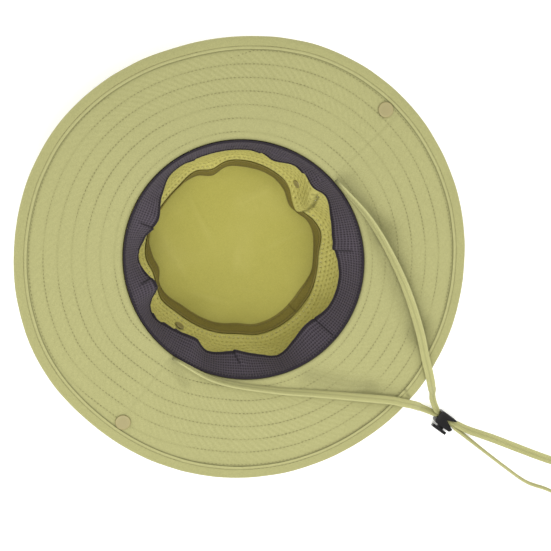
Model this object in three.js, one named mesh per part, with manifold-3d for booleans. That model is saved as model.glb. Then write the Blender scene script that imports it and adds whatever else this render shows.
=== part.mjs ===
// A wide brim fishing hat, lying upside down on the flat top of its crown.
// Millimetres, +Z up, origin at the middle of the crown top, -Y towards the front of the hat.
// Angles run in degrees from +X, the hat's one side, towards +Y, its back.

import * as THREE from 'three';
import { mergeVertices } from 'three/addons/utils/BufferGeometryUtils.js';
import Module from 'manifold-3d';

const wasm = await Module();
wasm.setup();

// Head opening and crown. The foot is the share of the wall's height that stands upright.
const headLength = 190.8;
const headWidth = 184.4;
const crownDepth = 88;
const crownTopDiameter = 146;
const topCloth = 1.5;
const wallCloth = 1.2;
const wallBulge = 0.6;
const wallFoot = 0.12;

// Brim, measured level from the opening to its outer edge
const brimWidth = 84;
const brimCloth = 2;
const brimCurl = 1.35;
const seamLedge = 2;
const valleyFade = 10.5;
const bindingWidth = 10;
const bindingCloth = 1;
const bindingRound = 0.7;

// Sweatband and the tape over the crown top's seam
const bandWidth = 31;
const bandCloth = 1.8;
const bandRise = 0.6;
const bandCurl = 1.15;
const tapeWidth = 10.5;
const tapeCloth = 1.2;

// Snap fasteners
const brimSnapDiameter = 12.4;
const crownSnapDiameter = 8;
const snapDepth = 1.4;
const snapEdge = 0.5;
const snapPost = 4;
const rightSnapAngle = 4;
const leftSnapAngle = 177;

// Steps over which a snap reads the slope of the cloth it sits in
const aimAngle = 2;
const aimReach = 4.2;
const aimHeight = 2;

// Cord lock
const lockLength = 17;
const lockWidth = 11.5;
const lockHeight = 10.4;
const lockCorner = 2.6;
const lockMouth = 7.6;
const laneOffset = -1.2;
const buttonLength = 13.4;
const buttonHeight = 8;
const buttonDepth = 2.5;
const buttonCorner = 1.6;
const stemLength = 5;
const stemHeight = 4.5;
const buttonTravel = 1.4;
const channelWall = 1.2;

// Chin strap, a flat woven tape
const strapWidth = 7.6;
const strapDepth = 1.8;
const strapChamfer = 0.5;

// Gaps between neighbouring pieces
const clearance = 0.3;
const brimSnapClearance = 0.35;
const crownSnapClearance = 0.5;

// Columns round the hat, rows of the crown wall as shares of its height, rows of the
// brim as shares of the way to its binding, and steps of what is round.
const columns = 84;
const wallRows = [0, 0.12, 0.17, 0.38, 0.66, 1];
const brimRows = [0.25, 0.5, 0.75];
const bandRows = 4;
const stepsPerStop = 2;
const roundSides = 12;
const cornerSteps = 4;

// Crown top seam: edge as a share of the crown top's radius, lap as the share of
// the tape's width that lies on the crown top, the rest standing against the wall.
const seamWaves = [
  { at: 0, edge: 0.97, lap: 0.75 },
  { at: 30, edge: 0.98, lap: 0.78 },
  { at: 44, edge: 0.985, lap: 0.86 },
  { at: 57, edge: 1.035, lap: 0.88 },
  { at: 73, edge: 1.05, lap: 0.91 },
  { at: 97, edge: 1.04, lap: 0.95 },
  { at: 113, edge: 0.995, lap: 0.38 },
  { at: 127, edge: 0.975, lap: 0.36 },
  { at: 140, edge: 1.015, lap: 0.65 },
  { at: 149, edge: 0.975, lap: 0.5 },
  { at: 159, edge: 0.895, lap: 0.45 },
  { at: 168, edge: 0.9, lap: 0.7 },
  { at: 179, edge: 0.955, lap: 0.6 },
  { at: 192, edge: 0.985, lap: 0.47 },
  { at: 213, edge: 1.01, lap: 0.63 },
  { at: 225, edge: 1, lap: 0.58 },
  { at: 236, edge: 0.94, lap: 0.65 },
  { at: 247, edge: 0.985, lap: 0.55 },
  { at: 262, edge: 0.95, lap: 0.16 },
  { at: 280, edge: 0.955, lap: 0.16 },
  { at: 305, edge: 0.995, lap: 0.35 },
  { at: 316, edge: 1, lap: 0.68 },
  { at: 326, edge: 0.955, lap: 0.66 },
  { at: 336, edge: 0.965, lap: 0.35 },
  { at: 345, edge: 1, lap: 0.6 },
];

// Dents of the crown wall: half width in degrees, depth as a share of the crown's
// depth, heights as shares of the crown's depth.
const wallDents = [
  { at: 166, half: 9, deep: 0.055, middle: 0.32, tall: 0.26 },
  { at: 20, half: 7, deep: 0.03, middle: 0.3, tall: 0.25 },
  { at: 272, half: 14, deep: 0.02, middle: 0.35, tall: 0.3 },
];

// Free edge of the sweatband: how far it stands in from the opening, as a share of its width.
const bandWaves = [
  { at: 4, stand: 0.56 },
  { at: 12, stand: 0.63 },
  { at: 21, stand: 0.45 },
  { at: 37, stand: 0.6 },
  { at: 52, stand: 0.47 },
  { at: 61, stand: 0.31 },
  { at: 73, stand: 0.54 },
  { at: 84, stand: 0.66 },
  { at: 98, stand: 0.5 },
  { at: 113, stand: 0.46 },
  { at: 126, stand: 0.55 },
  { at: 137, stand: 0.66 },
  { at: 153, stand: 0.52 },
  { at: 165, stand: 0.35 },
  { at: 174, stand: 0.45 },
  { at: 185, stand: 0.29 },
  { at: 202, stand: 0.43 },
  { at: 210, stand: 0.33 },
  { at: 240, stand: 0.35 },
  { at: 260, stand: 0.35 },
  { at: 272, stand: 0.53 },
  { at: 286, stand: 0.77 },
  { at: 300, stand: 0.57 },
  { at: 312, stand: 0.46 },
  { at: 329, stand: 0.76 },
  { at: 338, stand: 0.42 },
  { at: 346, stand: 0.32 },
  { at: 355, stand: 0.44 },
];

// Outer edge of the brim: reach and drop below the opening as shares of the brim's width.
const brimWaves = [
  { at: 0, reach: 0.975, drop: 0.115 },
  { at: 25, reach: 0.977, drop: 0.175 },
  { at: 50, reach: 0.975, drop: 0.205 },
  { at: 72, reach: 0.97, drop: 0.215 },
  { at: 92, reach: 0.98, drop: 0.19 },
  { at: 120, reach: 0.976, drop: 0.165 },
  { at: 148, reach: 0.993, drop: 0.105 },
  { at: 178, reach: 1, drop: 0.085 },
  { at: 200, reach: 0.983, drop: 0.14 },
  { at: 220, reach: 0.932, drop: 0.23 },
  { at: 237, reach: 0.908, drop: 0.265 },
  { at: 256, reach: 0.929, drop: 0.24 },
  { at: 277, reach: 0.963, drop: 0.175 },
  { at: 300, reach: 0.976, drop: 0.125 },
  { at: 335, reach: 1.002, drop: 0.09 },
];

// Valleys pressed into the brim: ends as angle and share of its reach, half width
// and depth as shares of its width.
const brimValleys = [
  { fromAngle: 168, fromShare: 0.1, toAngle: 141, toShare: 0.22, half: 0.1, deep: 0.032 },
  { fromAngle: 141, fromShare: 0.22, toAngle: 108, toShare: 0.7, half: 0.13, deep: 0.04 },
  { fromAngle: 108, fromShare: 0.7, toAngle: 101, toShare: 1, half: 0.12, deep: 0.03 },
  { fromAngle: 70, fromShare: 0.12, toAngle: 84, toShare: 0.62, half: 0.1, deep: 0.03 },
  { fromAngle: 84, fromShare: 0.62, toAngle: 90, toShare: 1, half: 0.1, deep: 0.024 },
  { fromAngle: 6, fromShare: 0.06, toAngle: 15, toShare: 0.16, half: 0.05, deep: 0.02 },
];

// The chin strap's course from one side of the hat through the cord lock, round its
// loop on the table, back through the lock and to the other side. The turn is in
// degrees: 0 with the strap lying flat, 90 with it standing on its edge.
const strapStops = [
  { x: -92.8, y: 13, z: 92.6, turn: 66 },
  { x: -87.4, y: 51.5, z: 91.8, turn: 55 },
  { x: -78.5, y: 80.8, z: 89.4, turn: 45 },
  { x: -64.7, y: 112.8, z: 86.6, turn: 30 },
  { x: -46.3, y: 145.2, z: 80.6, turn: 12 },
  { x: -33.3, y: 163.4, z: 77.9, turn: 6 },
  { x: -26.2, y: 173.6, z: 77.2, turn: 2 },
  { x: -20.7, y: 183, z: 69.5, turn: 0 },
  { x: -17.8, y: 191.2, z: 48.4, turn: -4 },
  { x: -16.7, y: 201.7, z: 23.2, turn: -14 },
  { x: -11.1, y: 209.9, z: 9.7, turn: -30 },
  { x: -6.37, y: 221.85, z: 5.2, turn: -88 },
  { x: -7.28, y: 237.83, z: 5.2, turn: -85 },
  { x: -8.6, y: 242.35, z: 4.9, turn: -48 },
  { x: -10.3, y: 250.1, z: 3.4, turn: -14 },
  { x: -18.6, y: 273, z: 1.9, turn: 0 },
  { x: -38.4, y: 329.5, z: 1.5, turn: 0 },
  { x: -51.5, y: 355.2, z: 2.8, turn: 22 },
  { x: -62.5, y: 381.5, z: 4.5, turn: 78 },
  { x: -56.3, y: 397.2, z: 4.3, turn: 90 },
  { x: -43.3, y: 403.2, z: 4.2, turn: 90 },
  { x: -29.2, y: 398.9, z: 4.2, turn: 90 },
  { x: -20.6, y: 384.8, z: 4.2, turn: 90 },
  { x: -17.1, y: 342.7, z: 4.2, turn: 90 },
  { x: -9.6, y: 321, z: 4.2, turn: 90 },
  { x: -7.3, y: 296, z: 4.2, turn: 90 },
  { x: -5.24, y: 242.98, z: 5.1, turn: 88 },
  { x: -4.97, y: 235.59, z: 5.2, turn: 90 },
  { x: -3.97, y: 222.02, z: 5.2, turn: 88 },
  { x: 0.1, y: 205.9, z: 10.5, turn: 34 },
  { x: 1.7, y: 197.2, z: 22.8, turn: 26 },
  { x: -0.5, y: 191.6, z: 56.2, turn: 22 },
  { x: 1.8, y: 180.3, z: 73.8, turn: 22 },
  { x: 5.5, y: 172.2, z: 78, turn: 24 },
  { x: 8.6, y: 166, z: 78.4, turn: 26 },
  { x: 24.4, y: 141.1, z: 82.8, turn: 36 },
  { x: 43.6, y: 111.3, z: 88.9, turn: 46 },
  { x: 62, y: 84.3, z: 91.6, turn: 56 },
  { x: 84.9, y: 43.7, z: 92.4, turn: 62 },
  { x: 93.1, y: 6, z: 92.7, turn: 66 },
];
const lockPlace = { x: -4.6, y: 231, turn: 4 };

const radians = THREE.MathUtils.degToRad;
const seamHeight = topCloth + clearance;
const wallTop = crownDepth - brimCloth - clearance;
const wallHeight = wallTop - seamHeight;

// A value of one column at any angle, flowing smoothly through the rows round the hat.
function around(rows, column, angle) {
  const wrapped = THREE.MathUtils.euclideanModulo(angle, 360);
  const found = rows.findIndex((row) => row.at > wrapped);
  const next = found < 0 ? rows.length : found;
  const spots = [next - 2, next - 1, next, next + 1].map((index) => {
    const row = rows[THREE.MathUtils.euclideanModulo(index, rows.length)];
    return { at: row.at + 360 * Math.floor(index / rows.length), value: row[column] };
  });
  const [before, start, end, after] = spots;
  const span = end.at - start.at;
  const leaving = span * (end.value - before.value) / (end.at - before.at);
  const arriving = span * (after.value - start.value) / (after.at - start.at);
  const t = (wrapped - start.at) / span;
  return start.value * (2 * t ** 3 - 3 * t ** 2 + 1) + leaving * (t ** 3 - 2 * t ** 2 + t)
    + end.value * (3 * t ** 2 - 2 * t ** 3) + arriving * (t ** 3 - t ** 2);
}

function angleBetween(first, second) {
  return THREE.MathUtils.euclideanModulo(first - second + 180, 360) - 180;
}

// A rounded dent, 1 at its middle and fading to nothing past its half width.
function dent(distance, half) {
  return Math.exp(-((distance / half) ** 2));
}

function openingRadius(angle) {
  const across = headLength * Math.cos(radians(angle));
  const along = headWidth * Math.sin(radians(angle));
  return headLength * headWidth / 2 / Math.hypot(across, along);
}

function topRadius(angle) {
  return crownTopDiameter / 2 * around(seamWaves, 'edge', angle);
}

// Inner radius of the crown wall at one of its rows
function wallRowRadius(angle, share) {
  const start = topRadius(angle) - wallCloth;
  const flared = Math.max(0, (share - wallFoot) / (1 - wallFoot));
  let radius = start + (openingRadius(angle) - start) * flared ** wallBulge;
  for (const row of wallDents) {
    const sideways = dent(angleBetween(angle, row.at), row.half);
    radius -= crownDepth * row.deep * sideways * dent(share - row.middle, row.tall) * Math.sin(Math.PI * flared);
  }
  return radius;
}

// Inner radius of the crown wall at any height above the table, straight between its rows.
function wallRadius(angle, height) {
  const share = THREE.MathUtils.clamp((height - seamHeight) / wallHeight, 0, 1);
  const above = Math.max(1, wallRows.findIndex((row) => row >= share));
  const from = wallRows[above - 1];
  const to = wallRows[above];
  const part = (share - from) / (to - from);
  return THREE.MathUtils.lerp(wallRowRadius(angle, from), wallRowRadius(angle, to), part);
}

function brimReach(angle) {
  return brimWidth * around(brimWaves, 'reach', angle);
}

function flatPoint(angle, share) {
  const radius = openingRadius(angle) + brimReach(angle) * share;
  return new THREE.Vector2(radius * Math.cos(radians(angle)), radius * Math.sin(radians(angle)));
}

function distanceToLine(point, from, to) {
  const line = to.clone().sub(from);
  const share = THREE.MathUtils.clamp(point.clone().sub(from).dot(line) / line.lengthSq(), 0, 1);
  return point.distanceTo(from.clone().addScaledVector(line, share));
}

// Height of the brim's upper face, which is its underside when the hat is worn.
function brimHeight(angle, share) {
  const point = flatPoint(angle, share);
  const pastSeam = Math.max(0, share - seamLedge / brimReach(angle));
  const seamHold = Math.min(1, pastSeam * brimWidth / valleyFade);
  let height = crownDepth - brimWidth * around(brimWaves, 'drop', angle) * pastSeam ** brimCurl;
  for (const row of brimValleys) {
    const from = flatPoint(row.fromAngle, row.fromShare);
    const to = flatPoint(row.toAngle, row.toShare);
    const distance = distanceToLine(point, from, to);
    height -= brimWidth * row.deep * seamHold * dent(distance, brimWidth * row.half);
  }
  return height;
}

// A place on the brim's upper face, raised or lowered by a lift.
function brimSpot(angle, share, lift) {
  return [openingRadius(angle) + brimReach(angle) * share, brimHeight(angle, share) + lift];
}

// Share of the brim's reach that lies a given distance in from its outer edge.
function shareFromEdge(angle, distance) {
  return 1 - distance / brimReach(angle);
}

// A closed ring round the hat from its section at each angle, listed as radius and
// height, anticlockwise with the radius to the right and the height upwards. Its
// faces are all split the same way, so that layers of cloth stay parallel.
function ringSolid(sectionAt) {
  const positions = [];
  const radii = [];
  const faces = [];
  let count = 0;
  for (let column = 0; column < columns; column += 1) {
    const angle = 360 * column / columns;
    const section = sectionAt(angle);
    count = section.length;
    for (const [radius, height] of section) {
      positions.push(radius * Math.cos(radians(angle)), radius * Math.sin(radians(angle)), height);
      radii.push(radius);
    }
  }
  for (let column = 0; column < columns; column += 1) {
    const here = column * count;
    const there = (column + 1) % columns * count;
    for (let point = 0; point < count; point += 1) {
      const following = (point + 1) % count;
      if (radii[here + following] >= radii[here + point]) {
        faces.push(here + point, there + point, there + following);
        faces.push(here + point, there + following, here + following);
      } else {
        faces.push(here + point, there + point, here + following);
        faces.push(there + point, there + following, here + following);
      }
    }
  }
  const geometry = new THREE.BufferGeometry();
  geometry.setAttribute('position', new THREE.Float32BufferAttribute(positions, 3));
  geometry.setIndex(faces);
  geometry.computeVertexNormals();
  return geometry;
}

function toManifold(geometry) {
  const bare = geometry.clone();
  bare.deleteAttribute('normal');
  bare.deleteAttribute('uv');
  const merged = mergeVertices(bare);
  return new wasm.Manifold(new wasm.Mesh({
    numProp: 3,
    vertProperties: new Float32Array(merged.attributes.position.array),
    triVerts: new Uint32Array(merged.index.array),
  }));
}

function toGeometry(solid) {
  const mesh = solid.getMesh();
  const geometry = new THREE.BufferGeometry();
  geometry.setAttribute('position', new THREE.Float32BufferAttribute(mesh.vertProperties, 3));
  geometry.setIndex(Array.from(mesh.triVerts));
  geometry.computeVertexNormals();
  return geometry;
}

function cutAway(geometry, tools) {
  return toGeometry(tools.reduce((solid, tool) => solid.subtract(toManifold(tool)), toManifold(geometry)));
}

function cloth(color, roughness) {
  return new THREE.MeshStandardMaterial({ color, roughness, metalness: 0 });
}

const brimCotton = cloth(0xc0bd82, 0.9);
const crownCotton = cloth(0xb6b25c, 0.88);
const tapeCotton = cloth(0x766c32, 0.85);
const bandKnit = cloth(0x4e4652, 0.95);
const strapWeave = cloth(0xbcba7c, 0.85);
const snapMetal = new THREE.MeshStandardMaterial({ color: 0xb2a870, roughness: 0.55, metalness: 0.1 });
const lockPlastic = new THREE.MeshStandardMaterial({ color: 0x18161a, roughness: 0.4, metalness: 0 });

// Crown top: a flat panel with a wavy seam edge
function makeCrownTop() {
  const outline = [];
  for (let column = 0; column < columns; column += 1) {
    const angle = radians(360 * column / columns);
    const radius = topRadius(360 * column / columns);
    outline.push(new THREE.Vector2(radius * Math.cos(angle), radius * Math.sin(angle)));
  }
  return new THREE.ExtrudeGeometry(new THREE.Shape(outline), { depth: topCloth, bevelEnabled: false });
}

// Crown wall: from the top's seam out to the brim's seam
function makeCrownWall() {
  const ring = ringSolid((angle) => {
    const inside = wallRows.map((share) => [wallRowRadius(angle, share), seamHeight + wallHeight * share]);
    const outside = inside.map(([radius, height]) => [radius + wallCloth, height]);
    return [...outside, ...inside.reverse()];
  });
  return cutAway(ring, crownSnaps.map((snap) => postHole(snap, wallCloth)));
}

// Tape over the seam inside the crown, leaning from the top on to the wall
function makeSeamTape() {
  return ringSolid((angle) => {
    const lap = tapeWidth * around(seamWaves, 'lap', angle);
    const rise = Math.sqrt(tapeWidth ** 2 - lap ** 2);
    const foot = new THREE.Vector2(topRadius(angle) - lap, seamHeight);
    const headHeight = seamHeight + rise;
    const heights = [seamHeight, headHeight, headHeight + tapeCloth];
    const innermost = Math.min(...heights.map((height) => wallRadius(angle, height)));
    const head = new THREE.Vector2(Math.min(innermost, foot.x + lap) - clearance, headHeight);
    const along = head.clone().sub(foot).normalize();
    const up = new THREE.Vector2(-along.y, along.x).multiplyScalar(tapeCloth);
    const footTop = foot.clone().add(up);
    const headTop = head.clone().add(up);
    return [foot, head, headTop, footTop].map((point) => [point.x, point.y]);
  });
}

// Sweatband: sewn in at the opening, its free edge standing off the wall in waves
function makeSweatband() {
  return ringSolid((angle) => {
    const stand = bandWidth * around(bandWaves, 'stand', angle);
    const fall = Math.sqrt(bandWidth ** 2 - stand ** 2);
    const sewn = openingRadius(angle) - clearance;
    const lean = stand - bandCloth - clearance;
    const outside = [];
    const inside = [];
    for (let row = 0; row <= bandRows; row += 1) {
      const share = row / bandRows;
      const radius = sewn - lean * share ** bandCurl;
      const height = crownDepth + bandRise - fall * share;
      outside.unshift([radius, height]);
      inside.push([radius - bandCloth, height]);
    }
    return [...outside, ...inside];
  });
}

// Brim: one thick stitched ply from the opening to inside the binding
function makeBrim() {
  const ring = ringSolid((angle) => {
    const bindingStart = shareFromEdge(angle, bindingWidth);
    const end = shareFromEdge(angle, bindingCloth + clearance);
    const shares = brimRows.map((part) => part * bindingStart);
    shares.unshift(0, seamLedge / brimReach(angle));
    shares.push(bindingStart, end);
    const below = shares.map((share) => brimSpot(angle, share, -brimCloth));
    const above = shares.map((share) => brimSpot(angle, share, 0)).reverse();
    return [...below, ...above];
  });
  return cutAway(ring, brimSnaps.map((snap) => postHole(snap, brimCloth)));
}

// Binding: folded round the brim's outer edge
function makeBinding() {
  return ringSolid((angle) => {
    const inner = shareFromEdge(angle, bindingWidth);
    const corner = shareFromEdge(angle, bindingCloth * bindingRound);
    const fold = shareFromEdge(angle, bindingCloth);
    const upper = clearance + bindingCloth;
    const lower = -brimCloth - clearance - bindingCloth;
    const middle = (upper + lower) / 2;
    return [
      brimSpot(angle, inner, lower),
      brimSpot(angle, corner, lower),
      brimSpot(angle, 1, (lower + middle) / 2),
      brimSpot(angle, 1, (upper + middle) / 2),
      brimSpot(angle, corner, upper),
      brimSpot(angle, inner, upper),
      brimSpot(angle, inner, clearance),
      brimSpot(angle, fold, clearance),
      brimSpot(angle, fold, -brimCloth - clearance),
      brimSpot(angle, inner, -brimCloth - clearance),
    ];
  });
}

// How far from the opening a brim snap's middle lies, close beside the binding.
function snapReach(angle) {
  return brimReach(angle) - bindingWidth - clearance - brimSnapDiameter / 2;
}

// Where a snap goes through the cloth: a point on the visible face, with the way
// out of that face, towards whoever looks into the upturned hat.
function surfacePlace(spot, angle, place, placeStep) {
  const along = spot(angle + aimAngle, place).sub(spot(angle - aimAngle, place));
  const across = spot(angle, place + placeStep).sub(spot(angle, place - placeStep));
  const out = across.cross(along).normalize();
  const turn = new THREE.Quaternion().setFromUnitVectors(new THREE.Vector3(0, 0, 1), out);
  return { point: spot(angle, place), turn };
}

function brimSnapPlace(angle) {
  const share = snapReach(angle) / brimReach(angle);
  const spot = (turned, part) => {
    const [radius, height] = brimSpot(turned, part, 0);
    return new THREE.Vector3(radius * Math.cos(radians(turned)), radius * Math.sin(radians(turned)), height);
  };
  return surfacePlace(spot, angle, share, aimReach / brimWidth);
}

// A crown snap sits as deep in the crown as the brim's snap reaches when folded up.
function crownSnapPlace(angle) {
  const spot = (turned, height) => {
    const radius = wallRadius(turned, height);
    return new THREE.Vector3(radius * Math.cos(radians(turned)), radius * Math.sin(radians(turned)), height);
  };
  return surfacePlace(spot, angle, crownDepth - snapReach(angle), aimHeight);
}

function postHole(place, thickness) {
  const hole = new THREE.CylinderGeometry(
    snapPost / 2 + clearance, snapPost / 2 + clearance, thickness * 4, roundSides,
  );
  hole.rotateX(Math.PI / 2);
  hole.applyQuaternion(place.turn);
  hole.translate(place.point.x, place.point.y, place.point.z);
  return hole;
}

// A snap in one piece: a cap on the visible face, a post through the cloth and a back
function makeSnap(diameter, thickness, gap) {
  const radius = diameter / 2;
  const face = gap;
  const back = -thickness - gap;
  const profile = [
    [0, back - snapDepth],
    [radius - snapEdge, back - snapDepth],
    [radius, back - snapDepth + snapEdge],
    [radius, back],
    [snapPost / 2, back],
    [snapPost / 2, face],
    [radius, face],
    [radius, face + snapDepth - snapEdge],
    [radius - snapEdge, face + snapDepth],
    [0, face + snapDepth],
  ].map(([x, y]) => new THREE.Vector2(x, y));
  const snap = new THREE.LatheGeometry(profile, roundSides);
  snap.rotateX(Math.PI / 2);
  return snap;
}

const brimSnaps = [rightSnapAngle, leftSnapAngle].map(brimSnapPlace);
const crownSnaps = [rightSnapAngle, leftSnapAngle].map(crownSnapPlace);

// A route with a step at each stop and between stops, whose frames follow the strap's
// own turn instead of the bend of the curve.
class StrapRoute extends THREE.CatmullRomCurve3 {
  constructor(stops) {
    super(stops.map((stop) => new THREE.Vector3(stop.x, stop.y, stop.z)));
    this.stops = stops;
  }

  turnAt(share) {
    const place = share * (this.stops.length - 1);
    const index = Math.min(Math.floor(place), this.stops.length - 2);
    const { turn: from } = this.stops[index];
    const { turn: to } = this.stops[index + 1];
    return radians(THREE.MathUtils.lerp(from, to, place - index));
  }

  getSpacedPoints(steps) {
    return this.getPoints(steps);
  }

  computeFrenetFrames(steps) {
    const up = new THREE.Vector3(0, 0, 1);
    const frames = { tangents: [], normals: [], binormals: [] };
    for (let step = 0; step <= steps; step += 1) {
      const tangent = this.getTangent(step / steps);
      const level = new THREE.Vector3().crossVectors(up, tangent).normalize();
      const rise = new THREE.Vector3().crossVectors(tangent, level);
      const turn = this.turnAt(step / steps);
      const across = level.multiplyScalar(Math.cos(turn)).addScaledVector(rise, Math.sin(turn));
      frames.tangents.push(tangent);
      frames.binormals.push(across);
      frames.normals.push(new THREE.Vector3().crossVectors(across, tangent));
    }
    return frames;
  }
}

// Chin strap: one flat loop of tape
function makeChinStrap() {
  const x = strapDepth / 2;
  const y = strapWidth / 2;
  const section = new THREE.Shape([
    [x, -y + strapChamfer],
    [x, y - strapChamfer],
    [x - strapChamfer, y],
    [strapChamfer - x, y],
    [-x, y - strapChamfer],
    [-x, -y + strapChamfer],
    [strapChamfer - x, -y],
    [x - strapChamfer, -y],
  ].map(([across, along]) => new THREE.Vector2(across, along)));
  const steps = (strapStops.length - 1) * stepsPerStop;
  return new THREE.ExtrudeGeometry(section, { steps, extrudePath: new StrapRoute(strapStops) });
}

function roundedRectangle(width, height, corner) {
  const x = width / 2;
  const y = height / 2;
  const outline = new THREE.Shape();
  outline.moveTo(x - corner, -y);
  outline.absarc(x - corner, corner - y, corner, -Math.PI / 2, 0);
  outline.absarc(x - corner, y - corner, corner, 0, Math.PI / 2);
  outline.absarc(corner - x, y - corner, corner, Math.PI / 2, Math.PI);
  outline.absarc(corner - x, corner - y, corner, Math.PI, Math.PI * 1.5);
  return outline;
}

// Cord lock body: a block with a channel for both strands of the strap, a mouth that
// opens like a V where they leave, and a blind bore for the button's stem.
const channelWidth = strapDepth * 2 + clearance * 4;
const channelHeight = strapWidth + clearance * 2;
const channelSide = laneOffset + channelWidth / 2;
const boreEnd = channelSide + channelWall;

function makeLockBody() {
  const outline = roundedRectangle(lockWidth, lockLength, lockCorner);
  const block = new THREE.ExtrudeGeometry(outline, { depth: lockHeight, bevelEnabled: false, curveSegments: cornerSteps });
  const channel = new THREE.BoxGeometry(channelWidth, lockLength * 2, channelHeight);
  channel.translate(laneOffset, 0, lockHeight / 2);
  const mouth = new THREE.ExtrudeGeometry(new THREE.Shape([
    new THREE.Vector2(laneOffset, 0),
    new THREE.Vector2(laneOffset + lockMouth, lockLength),
    new THREE.Vector2(laneOffset - lockMouth, lockLength),
  ]), { depth: lockHeight * 2, bevelEnabled: false });
  mouth.translate(0, 0, -lockHeight / 2);
  const boreDepth = lockWidth - boreEnd;
  const bore = new THREE.BoxGeometry(boreDepth, stemLength + clearance * 2, stemHeight + clearance * 2);
  bore.translate(boreEnd + boreDepth / 2, 0, lockHeight / 2);
  return cutAway(block, [channel, mouth, bore]);
}

// Button: a plate on a stem that slides in the bore
function makeLockButton() {
  const plateStart = lockWidth / 2 + buttonTravel + clearance;
  const stemEnd = boreEnd + clearance + buttonTravel;
  const stemSpan = plateStart - stemEnd + buttonDepth / 2;
  const plate = new THREE.ExtrudeGeometry(
    roundedRectangle(buttonHeight, buttonLength, buttonCorner),
    { depth: buttonDepth, bevelEnabled: false, curveSegments: cornerSteps },
  );
  plate.rotateY(Math.PI / 2);
  plate.translate(plateStart, 0, lockHeight / 2);
  const stem = new THREE.BoxGeometry(stemSpan, stemLength, stemHeight);
  stem.translate(stemEnd + stemSpan / 2, 0, lockHeight / 2);
  return toGeometry(toManifold(plate).add(toManifold(stem)));
}

function part(name, geometry, material) {
  const mesh = new THREE.Mesh(geometry, material);
  mesh.name = name;
  return mesh;
}

function brimSnap(name, place) {
  const snap = part(name, makeSnap(brimSnapDiameter, brimCloth, brimSnapClearance), snapMetal);
  snap.position.copy(place.point);
  snap.quaternion.copy(place.turn);
  return snap;
}

function crownSnap(name, place) {
  const snap = part(name, makeSnap(crownSnapDiameter, wallCloth, crownSnapClearance), snapMetal);
  snap.position.copy(place.point);
  snap.quaternion.copy(place.turn);
  return snap;
}

const hat = new THREE.Group();
hat.add(part('crown_top', makeCrownTop(), crownCotton));
hat.add(part('crown_wall', makeCrownWall(), crownCotton));
hat.add(part('seam_tape', makeSeamTape(), tapeCotton));
hat.add(part('sweatband', makeSweatband(), bandKnit));
hat.add(part('brim', makeBrim(), brimCotton));
hat.add(part('brim_binding', makeBinding(), brimCotton));
hat.add(brimSnap('brim_snap_right', brimSnaps[0]));
hat.add(brimSnap('brim_snap_left', brimSnaps[1]));
hat.add(crownSnap('crown_snap_right', crownSnaps[0]));
hat.add(crownSnap('crown_snap_left', crownSnaps[1]));
hat.add(part('chin_strap', makeChinStrap(), strapWeave));

const lock = new THREE.Group();
lock.position.set(lockPlace.x, lockPlace.y, 0);
lock.rotation.z = radians(lockPlace.turn);
lock.add(part('cord_lock_body', makeLockBody(), lockPlastic));
lock.add(part('cord_lock_button', makeLockButton(), lockPlastic));
hat.add(lock);

export default hat;
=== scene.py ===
import math

import bmesh
import bpy
import numpy as np
from mathutils import Matrix, Vector, noise


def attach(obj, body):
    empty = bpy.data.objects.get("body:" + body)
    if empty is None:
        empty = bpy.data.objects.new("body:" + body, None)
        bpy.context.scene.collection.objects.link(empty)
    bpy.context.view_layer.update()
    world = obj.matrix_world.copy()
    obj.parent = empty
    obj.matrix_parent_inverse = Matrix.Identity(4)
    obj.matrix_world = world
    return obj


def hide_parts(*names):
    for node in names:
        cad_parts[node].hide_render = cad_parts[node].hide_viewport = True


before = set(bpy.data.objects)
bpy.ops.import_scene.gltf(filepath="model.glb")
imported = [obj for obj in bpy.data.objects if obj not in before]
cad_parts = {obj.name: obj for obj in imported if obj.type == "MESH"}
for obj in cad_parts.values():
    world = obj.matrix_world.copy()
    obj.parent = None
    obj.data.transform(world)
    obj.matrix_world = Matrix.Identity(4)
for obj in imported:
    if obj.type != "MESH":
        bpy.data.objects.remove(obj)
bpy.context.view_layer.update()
mm = 0.001

# Camera: stands over the front of the hat and looks down into it

camera = {
    "lens": 127,
    "sensor": 36,
    "place": (-0.02983, -0.24966, 1.56701),
    "right": (-0.64908, 0.74960, 0.12962),
    "up": (-0.76057, -0.63600, -0.13053),
}


def makeCamera():
    lensData = bpy.data.cameras.new("photo_camera")
    lensData.lens = camera["lens"]
    lensData.sensor_width = camera["sensor"]
    lensData.dof.use_dof = False
    made = bpy.data.objects.new("photo_camera", lensData)
    bpy.context.scene.collection.objects.link(made)
    right = Vector(camera["right"]).normalized()
    up = Vector(camera["up"])
    up = (up - right * up.dot(right)).normalized()
    turn = Matrix((right, up, right.cross(up))).transposed().to_4x4()
    made.matrix_world = Matrix.Translation(camera["place"]) @ turn
    bpy.context.scene.camera = made


makeCamera()
bpy.context.scene.view_settings.view_transform = "Standard"
print("camera in place")

# Shape of the hat, upside down on its crown top; angles in degrees from +X

hat = {
    "headLength": 190.8 * mm,
    "headWidth": 184.4 * mm,
    "crownDepth": 88 * mm,
    "crownTop": 146 * mm,
    "topCloth": 1.5 * mm,
    "wallCloth": 1.2 * mm,
    "wallBulge": 0.6,
    "wallFoot": 0.12,
    "brimWidth": 84 * mm,
    "brimCloth": 2 * mm,
    "brimCurl": 1.35,
    "seamLedge": 2 * mm,
    "valleyFade": 10.5 * mm,
    "gap": 0.3 * mm,
}

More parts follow.
